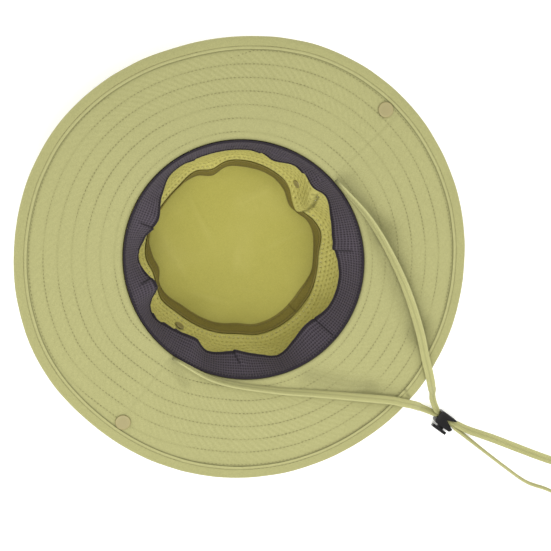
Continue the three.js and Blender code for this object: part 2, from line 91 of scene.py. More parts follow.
seamWaves = {
    "at": [0, 30, 44, 57, 73, 97, 113, 127, 140, 149, 159, 168, 179, 192, 213, 225, 236, 247, 262, 280, 305,
           316, 326, 336, 345],
    "edge": [0.97, 0.98, 0.985, 1.035, 1.05, 1.04, 0.995, 0.975, 1.015, 0.975, 0.895, 0.9, 0.955, 0.985, 1.01,
             1, 0.94, 0.985, 0.95, 0.955, 0.995, 1, 0.955, 0.965, 1],
    "lap": [0.75, 0.78, 0.86, 0.88, 0.91, 0.95, 0.38, 0.36, 0.65, 0.5, 0.45, 0.7, 0.6, 0.47, 0.63, 0.58, 0.65,
            0.55, 0.16, 0.16, 0.35, 0.68, 0.66, 0.35, 0.6],
}
# the flap that the wall's cloth folds into beside the left snap; line is (share of height, angle)
wallFlap = {
    "line": [(0, 166), (0.06, 162), (0.13, 158.8), (0.25, 160.2), (0.39, 163), (0.49, 165.8), (0.56, 169)],
    "stand": 4.2 * mm,
    "side": 1.7,       # degrees that its front face takes
    "back": 187,       # angle where it has run out
    "top": 0.62,       # share of the height where it ends
}
wallDents = [
    {"at": 166, "half": 9, "deep": 0.055, "middle": 0.32, "tall": 0.26},
    {"at": 20, "half": 7, "deep": 0.03, "middle": 0.3, "tall": 0.25},
    {"at": 272, "half": 14, "deep": 0.02, "middle": 0.35, "tall": 0.3},
]
bandWaves = {
    "at": [4, 12, 21, 37, 52, 61, 73, 84, 98, 113, 126, 137, 153, 165, 174, 185, 202, 210, 240, 260, 272, 286,
           300, 312, 329, 338, 346, 355],
    "stand": [0.56, 0.63, 0.45, 0.6, 0.47, 0.31, 0.54, 0.66, 0.5, 0.46, 0.55, 0.66, 0.52, 0.35, 0.45, 0.29,
              0.43, 0.33, 0.35, 0.35, 0.53, 0.77, 0.57, 0.46, 0.76, 0.42, 0.32, 0.44],
}
brimWaves = {
    "at": [0, 25, 50, 72, 92, 120, 148, 178, 200, 220, 237, 256, 277, 300, 335],
    "reach": [0.975, 0.977, 0.975, 0.97, 0.98, 0.976, 0.993, 1, 0.983, 0.932, 0.908, 0.929,
              0.963, 0.976, 1.002],
    "drop": [0.115, 0.175, 0.205, 0.215, 0.19, 0.165, 0.105, 0.085, 0.14, 0.23, 0.265, 0.24,
             0.175, 0.125, 0.09],
}
brimValleys = [
    {"from": (168, 0.1), "to": (141, 0.22), "half": 0.1, "deep": 0.032},
    {"from": (141, 0.22), "to": (108, 0.7), "half": 0.13, "deep": 0.04},
    {"from": (108, 0.7), "to": (101, 1), "half": 0.12, "deep": 0.03},
    {"from": (70, 0.12), "to": (84, 0.62), "half": 0.1, "deep": 0.03},
    {"from": (84, 0.62), "to": (90, 1), "half": 0.1, "deep": 0.024},
    {"from": (6, 0.06), "to": (15, 0.16), "half": 0.05, "deep": 0.02},
]


def around(table, column, angle):
    at = np.array(table["at"], float)
    value = np.array(table[column], float)
    count = len(at)
    wrapped = np.mod(angle, 360.0)
    following = np.searchsorted(at, wrapped, side="right")

    def spot(index):
        return at[index % count] + 360 * (index // count), value[index % count]

    (a0, v0), (a1, v1), (a2, v2), (a3, v3) = (spot(following + step) for step in (-2, -1, 0, 1))
    span = a2 - a1
    leaving = span * (v2 - v0) / (a2 - a0)
    arriving = span * (v3 - v1) / (a3 - a1)
    t = (wrapped - a1) / span
    return (v1 * (2 * t**3 - 3 * t**2 + 1) + leaving * (t**3 - 2 * t**2 + t)
            + v2 * (3 * t**2 - 2 * t**3) + arriving * (t**3 - t**2))


def angleBetween(first, second):
    return np.mod(first - second + 180, 360) - 180


def dent(distance, half):
    return np.exp(-((distance / half) ** 2))


def smoothStep(value):
    value = np.clip(value, 0, 1)
    return value * value * (3 - 2 * value)


def onRound(radius, angle, height):
    # points round the hat's middle, angle in degrees
    turn = np.radians(angle)
    return np.stack([radius * np.cos(turn), radius * np.sin(turn), height], -1)


def openingRadius(angle):
    turn = np.radians(angle)
    across = hat["headLength"] * np.cos(turn)
    along = hat["headWidth"] * np.sin(turn)
    return hat["headLength"] * hat["headWidth"] / 2 / np.hypot(across, along)


def topRadius(angle):
    return hat["crownTop"] / 2 * around(seamWaves, "edge", angle)


def wallRadius(angle, share):
    start = topRadius(angle) - hat["wallCloth"]
    flared = np.maximum(0, (share - hat["wallFoot"]) / (1 - hat["wallFoot"]))
    radius = start + (openingRadius(angle) - start) * flared ** hat["wallBulge"]
    for row in wallDents:
        sideways = dent(angleBetween(angle, row["at"]), row["half"])
        upright = dent(share - row["middle"], row["tall"])
        radius = radius - hat["crownDepth"] * row["deep"] * sideways * upright * np.sin(math.pi * flared)
    return radius


def flapRise(angle, share):
    line = np.interp(share, *zip(*wallFlap["line"]))
    past = angleBetween(angle, line)
    front = smoothStep(past / wallFlap["side"] + 0.5)
    back = 1 - smoothStep((past - 2) / (wallFlap["back"] - line - 2))
    upright = smoothStep((wallFlap["top"] - share) / 0.16) * smoothStep((share + 0.02) / 0.1)
    return wallFlap["stand"] * front * back * upright


def brimReach(angle):
    return hat["brimWidth"] * around(brimWaves, "reach", angle)


def valleyDepth(angle, share):
    radius = openingRadius(angle) + brimReach(angle) * share
    x = radius * np.cos(np.radians(angle))
    y = radius * np.sin(np.radians(angle))
    depth = 0
    for row in brimValleys:
        ends = []
        for endAngle, endShare in (row["from"], row["to"]):
            reach = openingRadius(endAngle) + brimReach(endAngle) * endShare
            turn = math.radians(endAngle)
            ends.append(np.array([reach * math.cos(turn), reach * math.sin(turn)]))
        line = ends[1] - ends[0]
        along = np.clip(((x - ends[0][0]) * line[0] + (y - ends[0][1]) * line[1]) / (line @ line), 0, 1)
        distance = np.hypot(x - ends[0][0] - along * line[0], y - ends[0][1] - along * line[1])
        depth = depth + hat["brimWidth"] * row["deep"] * dent(distance, hat["brimWidth"] * row["half"])
    return depth


def brimHeight(angle, share):
    pastSeam = np.maximum(0, share - hat["seamLedge"] / brimReach(angle))
    hold = np.minimum(1, pastSeam * hat["brimWidth"] / hat["valleyFade"])
    fall = hat["brimWidth"] * around(brimWaves, "drop", angle) * pastSeam ** hat["brimCurl"]
    return hat["crownDepth"] - fall - valleyDepth(angle, share) * hold


def unevenness(points, size, seed):
    # soft random rise and fall, -1 to 1, with waves about as long as the size
    shift = Vector((seed * 1.7, seed * -2.3, seed * 0.9))
    return np.array([noise.noise(Vector(point) / size + shift) for point in points.reshape(-1, 3)]).reshape(
        points.shape[:-1])


# Meshes


def makeObject(name, points, faces, sheetMap=None, marks=None):
    mesh = bpy.data.meshes.new(name)
    mesh.from_pydata(points.tolist(), [], faces if isinstance(faces, list) else faces.tolist())
    if sheetMap is not None:
        layer = mesh.uv_layers.new(name="cloth")
        layer.uv.foreach_set("vector", np.asarray(sheetMap, np.float32).ravel())
    for mark, values in (marks or {}).items():
        layer = mesh.attributes.new(mark, "FLOAT", "POINT")
        layer.data.foreach_set("value", np.asarray(values, np.float32).ravel())
    mesh.validate()
    mesh.shade_smooth()
    made = bpy.data.objects.new(name, mesh)
    bpy.context.scene.collection.objects.link(made)
    return made


def makeRing(name, radius, height, aroundLength, marks=None, closed=True):
    # cloth round the hat; rows go anticlockwise through its section
    rows, columns = radius.shape
    points = onRound(radius, np.arange(columns) * 360 / columns, height)
    row, column = np.meshgrid(np.arange(rows if closed else rows - 1), np.arange(columns), indexing="ij")
    nextRow = (row + 1) % rows
    nextColumn = (column + 1) % columns
    faces = np.stack([row * columns + column, row * columns + nextColumn,
                      nextRow * columns + nextColumn, nextRow * columns + column], -1).reshape(-1, 4)
    steps = np.hypot(np.diff(radius, axis=0, append=radius[:1]),
                     np.diff(height, axis=0, append=height[:1])).mean(1)
    side = np.concatenate([[0], np.cumsum(steps)])
    u = np.stack([column, column + 1, column + 1, column], -1) / columns * aroundLength
    v = np.stack([side[row], side[row], side[row + 1], side[row + 1]], -1)
    sheetMap = np.stack([u, v], -1).reshape(-1, 2)
    return makeObject(name, points.reshape(-1, 3), faces, sheetMap, marks)


def normalsAlong(points):
    steps = np.gradient(points, axis=0)
    return steps / np.maximum(np.linalg.norm(steps, axis=1, keepdims=True), 1e-9)


def lengthsAlong(points):
    return np.concatenate([[0], np.cumsum(np.linalg.norm(np.diff(points, axis=0), axis=1))])


def resample(points, pitch):
    lengths = lengthsAlong(points)
    count = max(2, int(lengths[-1] / pitch))
    at = (np.arange(count) + 0.5) * lengths[-1] / count
    return np.stack([np.interp(at, lengths, points[:, axis]) for axis in range(3)], -1)


def makeStitches(name, lines, size, turned=0.0):
    # threads along each line of (points, up); turned is their angle to the line in degrees
    half = size["length"] / 2
    wide = size["width"] / 2
    shape = [(-half, 0, -0.8 * wide), (half, 0, -0.8 * wide)]
    for station in (-0.45, 0.45):
        shape += [(station * half, 0, size["rise"]), (station * half, wide, 0),
                  (station * half, 0, -wide), (station * half, -wide, 0)]
    shape = np.array(shape)
    sides = [(2 + step, 2 + (step + 1) % 4) for step in range(4)]
    shapeFaces = [(0, b, a) for a, b in sides] + [(1, a + 4, b + 4) for a, b in sides]
    shapeFaces += [(a, b, b + 4, a + 4) for a, b in sides]
    points, faces = [], []
    for line, up in lines:
        spots = resample(line, size["pitch"])
        along = normalsAlong(spots)
        ups = up(spots) if callable(up) else np.broadcast_to(up, spots.shape)
        across = np.cross(ups, along)
        across /= np.maximum(np.linalg.norm(across, axis=1, keepdims=True), 1e-9)
        raised = np.cross(along, across)
        if turned:
            swing = math.radians(turned)
            along, across = (along * math.cos(swing) + across * math.sin(swing),
                             across * math.cos(swing) - along * math.sin(swing))
        placed = (spots[:, None] + shape[None, :, 0, None] * along[:, None]
                  + shape[None, :, 1, None] * across[:, None] + shape[None, :, 2, None] * raised[:, None])
        for spot in placed:
            start = len(points) * len(shape)
            points.append(spot)
            faces += [tuple(start + index for index in face) for face in shapeFaces]
    return makeObject(name, np.concatenate(points), faces)


# Node groups shared by the materials


def addNode(tree, kind, links=None, **settings):
    made = tree.nodes.new(kind)
    made.location = (len(tree.nodes) % 8 * 190, len(tree.nodes) // 8 * -260)
    for key, value in settings.items():
        setattr(made, key, value)
    for key, value in (links or {}).items():
        if isinstance(value, bpy.types.NodeSocket):
            tree.links.new(value, made.inputs[key])
        else:
            made.inputs[key].default_value = value
    return made


def calculate(tree, operation, first, second=0.0, third=0.0):
    return addNode(tree, "ShaderNodeMath", {0: first, 1: second, 2: third}, operation=operation).outputs[0]


def mixColor(tree, factor, first, second):
    return addNode(tree, "ShaderNodeMix", {0: factor, 6: first, 7: second}, data_type="RGBA").outputs[2]


def scaleColor(tree, color, light):
    return addNode(tree, "ShaderNodeVectorMath", {0: color, "Scale": light}, operation="SCALE").outputs[0]


def newGroup(name, inputs, outputs):
    tree = bpy.data.node_groups.new(name, "ShaderNodeTree")
    for socketName, kind, value in inputs:
        socket = tree.interface.new_socket(name=socketName, in_out="INPUT", socket_type=kind)
        if value is not None:
            socket.default_value = value
    for socketName, kind in outputs:
        tree.interface.new_socket(name=socketName, in_out="OUTPUT", socket_type=kind)
    return tree, tree.nodes.new("NodeGroupInput"), tree.nodes.new("NodeGroupOutput")


def plainWeave():
    # over-and-under threads; the vector is in metres on the cloth
    tree, source, result = newGroup("plain_weave", [
        ("Vector", "NodeSocketVector", None), ("Pitch", "NodeSocketFloat", 0.0006),
        ("Warp Color", "NodeSocketColor", None), ("Weft Color", "NodeSocketColor", None),
        ("Gap Depth", "NodeSocketFloat", 0.3),
    ], [("Color", "NodeSocketColor"), ("Height", "NodeSocketFloat")])
    split = addNode(tree, "ShaderNodeSeparateXYZ", {0: source.outputs["Vector"]})
    u = calculate(tree, "DIVIDE", split.outputs[0], source.outputs["Pitch"])
    v = calculate(tree, "DIVIDE", split.outputs[1], source.outputs["Pitch"])
    cells = calculate(tree, "ADD", calculate(tree, "FLOOR", u), calculate(tree, "FLOOR", v))
    over = calculate(tree, "PINGPONG", cells, 1.0)
    waveU = calculate(tree, "ABSOLUTE", calculate(tree, "SINE", calculate(tree, "MULTIPLY", u, math.pi)))
    waveV = calculate(tree, "ABSOLUTE", calculate(tree, "SINE", calculate(tree, "MULTIPLY", v, math.pi)))
    warp = calculate(tree, "MULTIPLY", waveU, over)
    weft = calculate(tree, "MULTIPLY", waveV, calculate(tree, "SUBTRACT", 1.0, over))
    height = calculate(tree, "ADD", warp, weft)
    color = mixColor(tree, over, source.outputs["Warp Color"], source.outputs["Weft Color"])
    # threads lighter where they rise and darker where they dip into the gaps: painted shade
    low = calculate(tree, "SUBTRACT", 1.0, source.outputs["Gap Depth"])
    light = calculate(tree, "MULTIPLY_ADD", height, source.outputs["Gap Depth"], low)
    tree.links.new(scaleColor(tree, color, light), result.inputs["Color"])
    tree.links.new(height, result.inputs["Height"])
    return tree


def waffleKnit():
    # a grid of raised ribs round small sunken squares
    tree, source, result = newGroup("waffle_knit", [
        ("Vector", "NodeSocketVector", None), ("Pitch", "NodeSocketFloat", 0.0022),
        ("Ground Color", "NodeSocketColor", None), ("Rib Color", "NodeSocketColor", None),
    ], [("Color", "NodeSocketColor"), ("Height", "NodeSocketFloat")])
    split = addNode(tree, "ShaderNodeSeparateXYZ", {0: source.outputs["Vector"]})
    ribs = []
    for axis in (0, 1):
        place = calculate(tree, "DIVIDE", split.outputs[axis], source.outputs["Pitch"])
        wave = calculate(tree, "COSINE", calculate(tree, "MULTIPLY", place, math.pi))
        ribs.append(calculate(tree, "POWER", calculate(tree, "ABSOLUTE", wave), 5.0))
    rib = calculate(tree, "MAXIMUM", *ribs)
    # ribs take the light rib colour and the sunken squares the dark ground colour: painted light and shade on
    # one yarn
    tree.links.new(mixColor(tree, rib, source.outputs["Ground Color"], source.outputs["Rib Color"]),
                   result.inputs["Color"])
    tree.links.new(rib, result.inputs["Height"])
    return tree


def fadedDye():
    # uneven dye: broad faded patches and fine fibre specks
    tree, source, result = newGroup("faded_dye", [
        ("Vector", "NodeSocketVector", None), ("Color", "NodeSocketColor", None),
        ("Patch Size", "NodeSocketFloat", 0.06), ("Amount", "NodeSocketFloat", 0.05),
        ("Speck Amount", "NodeSocketFloat", 0.06),
    ], [("Color", "NodeSocketColor"), ("Mask", "NodeSocketFloat")])
    patchScale = calculate(tree, "DIVIDE", 1.0, source.outputs["Patch Size"])
    patches = addNode(tree, "ShaderNodeTexNoise", {"Vector": source.outputs["Vector"], "Scale": patchScale,
                                                   "Detail": 3.0, "Roughness": 0.55})
    specks = addNode(tree, "ShaderNodeTexNoise", {"Vector": source.outputs["Vector"], "Scale": 900.0,
                                                  "Detail": 2.0, "Roughness": 0.6})
    broad = calculate(tree, "MULTIPLY", calculate(tree, "SUBTRACT", patches.outputs[0], 0.5),
                      calculate(tree, "MULTIPLY", source.outputs["Amount"], 2.0))
    fine = calculate(tree, "MULTIPLY", calculate(tree, "SUBTRACT", specks.outputs[0], 0.5),
                     calculate(tree, "MULTIPLY", source.outputs["Speck Amount"], 2.0))
    light = calculate(tree, "ADD", 1.0, calculate(tree, "ADD", broad, fine))
    tree.links.new(scaleColor(tree, source.outputs["Color"], light), result.inputs["Color"])
    tree.links.new(patches.outputs[0], result.inputs["Mask"])
    return tree


def wearHighlightAndShade():
    # crests lighter, partly rubbed wear and partly painted highlight; creases, seams, folds and recesses
    # darker with painted shade, and joints darker; both from marks stored on the cloth's vertices
    tree, source, result = newGroup("wear_highlight_and_shade", [
        ("Color", "NodeSocketColor", None), ("Worn And Lit Color", "NodeSocketColor", None),
        ("Wear And Highlight Amount", "NodeSocketFloat", 0.5), ("Painted Shade And Joint Amount", "NodeSocketFloat", 0.5),
    ], [("Color", "NodeSocketColor"), ("Roughness", "NodeSocketFloat")])
    wear_and_highlight = addNode(tree, "ShaderNodeAttribute", attribute_name="wear_and_highlight")
    painted_shade_and_joints = addNode(tree, "ShaderNodeAttribute", attribute_name="painted_shade_and_joints")
    place = addNode(tree, "ShaderNodeTexCoord")
    broken = addNode(tree, "ShaderNodeTexNoise", {"Vector": place.outputs["Object"], "Scale": 260.0,
                                                  "Detail": 4.0})
    patchy = calculate(tree, "MULTIPLY", wear_and_highlight.outputs["Fac"],
                       calculate(tree, "MULTIPLY_ADD", broken.outputs[0], 1.4, 0.1))
    rubbed_and_lit = calculate(tree, "MULTIPLY", patchy, source.outputs["Wear And Highlight Amount"])
    rubbed_and_lit = calculate(tree, "MINIMUM", 1.0, rubbed_and_lit)
    lighter = mixColor(tree, rubbed_and_lit, source.outputs["Color"], source.outputs["Worn And Lit Color"])
    sunken = calculate(tree, "MULTIPLY", painted_shade_and_joints.outputs["Fac"], source.outputs["Painted Shade And Joint Amount"])
    kept = calculate(tree, "SUBTRACT", 1.0, sunken)
    tree.links.new(scaleColor(tree, lighter, kept), result.inputs["Color"])
    tree.links.new(calculate(tree, "MULTIPLY_ADD", rubbed_and_lit, -0.08, 0.92), result.inputs["Roughness"])
    return tree


groups = {"weave": plainWeave(), "knit": waffleKnit(), "dye": fadedDye(), "wear_and_highlight": wearHighlightAndShade()}
print("node groups built")


def shade(red, green, blue):
    # a colour as seen on a screen, 0 to 255
    seen = (red / 255, green / 255, blue / 255)
    linear = [value / 12.92 if value <= 0.04 else ((value + 0.055) / 1.055) ** 2.4 for value in seen]
    return (*linear, 1)


def useGroup(tree, name, links):
    return addNode(tree, "ShaderNodeGroup", links, node_tree=groups[name])


def newMaterial(name):
    made = bpy.data.materials.new(name)
    made.use_nodes = True
    tree = made.node_tree
    return made, tree, tree.nodes["Principled BSDF"]


def wovenCloth(name, look):
    made, tree, shader = newMaterial(name)
    place = addNode(tree, "ShaderNodeTexCoord")
    onCloth = place.outputs["UV" if look.get("mapped") else "Object"]
    weave = useGroup(tree, "weave", {"Vector": onCloth, "Pitch": look["pitch"],
                                     "Warp Color": shade(*look["warp"]), "Weft Color": shade(*look["weft"]),
                                     "Gap Depth": look["gapDepth"]})
    dye = useGroup(tree, "dye", {"Vector": place.outputs["Object"], "Color": weave.outputs["Color"],
                                 "Patch Size": look["patch"], "Amount": look["patchAmount"],
                                 "Speck Amount": look["speck"]})
    worn = useGroup(tree, "wear_and_highlight", {"Color": dye.outputs["Color"], "Worn And Lit Color": shade(*look["worn"]),
                                   "Wear And Highlight Amount": look["wear_and_highlight"], "Painted Shade And Joint Amount": look["painted_shade_and_joints"]})
    bump = addNode(tree, "ShaderNodeBump", {"Height": weave.outputs["Height"], "Strength": look["bump"],
                                            "Distance": look["pitch"] * 0.3})
    tree.links.new(worn.outputs["Color"], shader.inputs["Base Color"])
    tree.links.new(worn.outputs["Roughness"], shader.inputs["Roughness"])
    tree.links.new(bump.outputs[0], shader.inputs["Normal"])
    shader.inputs["Sheen Weight"].default_value = look["sheen"]
    shader.inputs["Sheen Roughness"].default_value = 0.5
    shader.inputs["Specular IOR Level"].default_value = 0.12
    return made


def ride(piece, name, slotName, *nodes, body="hat"):
    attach(piece, body)
    if nodes:
        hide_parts(*nodes)
    return piece


# Chin strap and cord lock

strap = {
    "width": 7.6 * mm,
    "depth": 1.8 * mm,
    "curled": 0.9,              # share of its width that is left as its edges curl
    "sewnIn": 0.55,             # share of its width where it is sewn in
    "sewnReach": 20 * mm,
    "endShadeReach": 6 * mm,      # painted shade at each end, where it goes under the seam
    "length": 0.96,
    "stepsPerStop": 16,
    "twistEvened": 26 * mm,     # length over which its twist evens out
    "gathered": 0.62,           # share of its width inside the lock
    "lockEnds": (0.2215, 0.2395),
    "lockFade": 4 * mm,
    "look": {"pitch": 0.0009, "warp": (184, 182, 127), "weft": (170, 168, 112), "gapDepth": 0.3,
             "patch": 0.03, "patchAmount": 0.05, "speck": 0.2, "worn": (205, 203, 150), "wear_and_highlight": 0.3,
             "painted_shade_and_joints": 0.5, "bump": 0.5, "sheen": 0.03, "mapped": True},
    # metres and turn in degrees, 0 flat and 90 on edge
    "stops": [
        (-0.0928, 0.013, 0.0926, 66), (-0.0874, 0.0515, 0.0918, 55), (-0.0785, 0.0808, 0.0894, 45),
        (-0.0647, 0.1128, 0.0866, 30), (-0.0463, 0.1452, 0.0806, 12), (-0.0333, 0.1634, 0.0779, 6),
        (-0.0262, 0.1736, 0.0772, 2), (-0.0207, 0.183, 0.0695, 0), (-0.0182, 0.1918, 0.0484, 0),
        (-0.0167, 0.2013, 0.0232, -2), (-0.0115, 0.21, 0.0094, -16), (-0.00637, 0.22185, 0.0052, -48),
        (-0.00728, 0.23783, 0.0052, -55), (-0.0086, 0.24235, 0.0049, -48), (-0.0103, 0.2501, 0.0034, -14),
        (-0.0186, 0.273, 0.0019, 0), (-0.0384, 0.3295, 0.0015, 0), (-0.0515, 0.3552, 0.0028, 22),
        (-0.0625, 0.3815, 0.0045, 78), (-0.0563, 0.3972, 0.0043, 90), (-0.0433, 0.4032, 0.0042, 90),
        (-0.0292, 0.3989, 0.0042, 90), (-0.0206, 0.3848, 0.0042, 86), (-0.0171, 0.3427, 0.0042, 80),
        (-0.0096, 0.321, 0.0042, 78), (-0.0073, 0.296, 0.0042, 78), (-0.00524, 0.24298, 0.0051, 76),
        (-0.00497, 0.23559, 0.0052, 62), (-0.00397, 0.22202, 0.0052, 58), (0.0001, 0.2059, 0.0105, 34),
        (0.0017, 0.1972, 0.0228, 26), (-0.0005, 0.1916, 0.0562, 22), (0.0018, 0.1803, 0.0738, 22),
        (0.0055, 0.1722, 0.078, 24), (0.0086, 0.166, 0.0784, 26), (0.0244, 0.1411, 0.0828, 36),
        (0.0436, 0.1113, 0.0889, 46), (0.062, 0.0843, 0.0916, 56), (0.0849, 0.0437, 0.0924, 62),
        (0.0931, 0.006, 0.0927, 66),
    ],
}


def strapLine():
    stops = np.array(strap["stops"])
    spots = stops[:, :3]
    spots = np.vstack([2 * spots[0] - spots[1], spots, 2 * spots[-1] - spots[-2]])
    points, tangents, turns = [], [], []
    for index in range(len(stops) - 1):
        p0, p1, p2, p3 = spots[index:index + 4]
        d0, d1, d2 = (np.linalg.norm(b - a) ** 0.5 for a, b in ((p0, p1), (p1, p2), (p2, p3)))
        leaving = ((p1 - p0) / d0 - (p2 - p0) / (d0 + d1) + (p2 - p1) / d1) * d1
        arriving = ((p2 - p1) / d1 - (p3 - p1) / (d1 + d2) + (p3 - p2) / d2) * d1
        last = index == len(stops) - 2
        for step in range(strap["stepsPerStop"] + last):
            t = step / strap["stepsPerStop"]
            points.append(p1 * (2 * t**3 - 3 * t**2 + 1) + leaving * (t**3 - 2 * t**2 + t)
                          + p2 * (3 * t**2 - 2 * t**3) + arriving * (t**3 - t**2))
            tangents.append(p1 * (6 * t**2 - 6 * t) + leaving * (3 * t**2 - 4 * t + 1)
                            + p2 * (6 * t - 6 * t**2) + arriving * (3 * t**2 - 2 * t))
            turns.append(math.radians(stops[index, 3] + (stops[index + 1, 3] - stops[index, 3]) * t))
    points, tangents = np.array(points), np.array(tangents)
    tangents /= np.linalg.norm(tangents, axis=1, keepdims=True)
    level = np.cross((0, 0, 1), tangents)
    level /= np.linalg.norm(level, axis=1, keepdims=True)
    rise = np.cross(tangents, level)
    turns = np.array(turns)[:, None]
    across = level * np.cos(turns) + rise * np.sin(turns)
    reach = lengthsAlong(points)
    across = dent(reach[:, None] - reach[None], strap["twistEvened"]) @ across
    across -= tangents * (across * tangents).sum(1, keepdims=True)
    across /= np.linalg.norm(across, axis=1, keepdims=True)
    return points, across, np.cross(across, tangents)


def makeStrap():
    line, across, out = strapLine()
    half, deep = strap["width"] * strap["curled"] / 2, strap["depth"] / 2
    # rounded tape with a slight groove along its middle on both faces
    face = [(-1, 0.0), (-0.97, 0.36), (-0.86, 0.66), (-0.62, 0.92), (-0.34, 1.0), (-0.15, 0.97), (0, 0.9),
            (0.15, 0.97), (0.34, 1.0), (0.62, 0.92), (0.86, 0.66), (0.97, 0.36), (1, 0.0)]
    section = np.array(face + [(-x, -y) for x, y in face[1:-1]]) * (half, deep)
    count = len(section)
    rings = len(line)
    near, far = strap["lockEnds"]
    inLock = (smoothStep((line[:, 1] - near) / strap["lockFade"] + 0.6)
              * smoothStep((far - line[:, 1]) / strap["lockFade"] + 0.6))
    lengths = lengthsAlong(line)
    toEnd = np.minimum(lengths, lengths[-1] - lengths)
    sewn = dent(toEnd, strap["sewnReach"])
    narrow = ((1 - (1 - strap["gathered"]) * inLock) * (1 - (1 - strap["sewnIn"]) * sewn))[:, None, None]
    points = (line[:, None] + section[None, :, 0, None] * across[:, None] * narrow
              + section[None, :, 1, None] * out[:, None]).reshape(-1, 3)
    ring, side = np.meshgrid(np.arange(rings - 1), np.arange(count), indexing="ij")
    nextSide = (side + 1) % count
    faces = np.stack([ring * count + side, ring * count + nextSide, (ring + 1) * count + nextSide,
                      (ring + 1) * count + side], -1).reshape(-1, 4)
    girth = lengthsAlong(np.vstack([section, section[:1]]))
    u = np.stack([lengths[ring], lengths[ring], lengths[ring + 1], lengths[ring + 1]], -1)
    v = np.stack([girth[side], girth[side + 1], girth[side + 1], girth[side]], -1)
    sheetMap = np.stack([u, v], -1).reshape(-1, 2).tolist()
    faces = faces.tolist()
    faces += [list(range(count)), [(rings - 1) * count + index for index in range(count)][::-1]]
    sheetMap += [[0, 0]] * (2 * count)
    # painted shade down the middle groove and at both ends under the seam
    grooveAndEndShade = np.tile(np.clip(1 - np.abs(section[:, 0]) / half / 0.25, 0, 1) * 0.4, rings)
    grooveAndEndShade = np.maximum(grooveAndEndShade, np.repeat(dent(toEnd, strap["endShadeReach"]), count))
    # edges lighter: rubbed wear and painted highlight
    edge = np.tile(np.clip(np.abs(section[:, 0]) / half * 3 - 2, 0, 1), rings)
    made = makeObject("strap_tape", points, faces, sheetMap, {"painted_shade_and_joints": grooveAndEndShade, "wear_and_highlight": edge})
    made.data.materials.append(wovenCloth("strap_weave", strap["look"]))
    print("strap length", round(float(lengths[-1]), 4))
    return made, line


lock = {
    "body": "cord_lock_body",
    "button": "cord_lock_button",
    "bevel": 0.55 * mm,
    "color": (17, 16, 17),
    "grain": (36, 34, 35),
}


def lockPlastic():
    made, tree, shader = newMaterial("lock_plastic")
    place = addNode(tree, "ShaderNodeTexCoord")
    dye = useGroup(tree, "dye", {"Vector": place.outputs["Object"], "Color": shade(*lock["color"]),
                                 "Patch Size": 0.006, "Amount": 0.12, "Speck Amount": 0.18})
    worn = useGroup(tree, "wear_and_highlight", {"Color": dye.outputs["Color"], "Worn And Lit Color": shade(*lock["grain"]),
                                   "Wear And Highlight Amount": 0.7, "Painted Shade And Joint Amount": 0.3})
    grain = addNode(tree, "ShaderNodeTexNoise", {"Vector": place.outputs["Object"], "Scale": 2600.0,
                                                 "Detail": 2.0})
    bump = addNode(tree, "ShaderNodeBump", {"Height": grain.outputs[0], "Strength": 0.25,
                                            "Distance": 0.00008})
    tree.links.new(worn.outputs["Color"], shader.inputs["Base Color"])
    tree.links.new(calculate(tree, "MULTIPLY_ADD", grain.outputs[0], 0.2, 0.2), shader.inputs["Roughness"])
    tree.links.new(bump.outputs[0], shader.inputs["Normal"])
    shader.inputs["Specular IOR Level"].default_value = 0.2
    return made


def roundedCopy(name, node, width):
    # the CAD piece with its corners moulded round
    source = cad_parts[node]
    shape = bmesh.new()
    shape.from_mesh(source.data)
    shape.transform(source.matrix_world)
    bmesh.ops.remove_doubles(shape, verts=shape.verts, dist=1e-5)
    bmesh.ops.dissolve_limit(shape, angle_limit=math.radians(1), verts=shape.verts, edges=shape.edges)
    sharp = [edge for edge in shape.edges
             if len(edge.link_faces) == 2 and edge.calc_face_angle() > math.radians(40)]
    bmesh.ops.bevel(shape, geom=sharp, offset=width, segments=3, affect="EDGES", profile=0.5,
                    clamp_overlap=True)
    bmesh.ops.triangulate(shape, faces=[face for face in shape.faces if len(face.verts) > 4])
    mesh = bpy.data.meshes.new(name)
    shape.to_mesh(mesh)
    shape.free()
    mesh.shade_smooth()
    mesh.set_sharp_from_angle(angle=math.radians(50))
    made = bpy.data.objects.new(name, mesh)
    bpy.context.scene.collection.objects.link(made)
    return made


strapTape, strapPath = makeStrap()
ride(strapTape, "strap_tape", "strap_weave", "chin_strap")
lockMaterial = lockPlastic()
lockBody = roundedCopy("lock_body", lock["body"], lock["bevel"])
lockButton = roundedCopy("lock_button", lock["button"], lock["bevel"])
for piece in (lockBody, lockButton):
    piece.data.materials.append(lockMaterial)
ride(lockBody, "lock_body", "lock_plastic", lock["body"])
ride(lockButton, "lock_button", "lock_plastic", lock["button"], body="lock_button")
print("chin strap and cord lock made")

# Brim: one stitched ply with a spiral of stitch rows

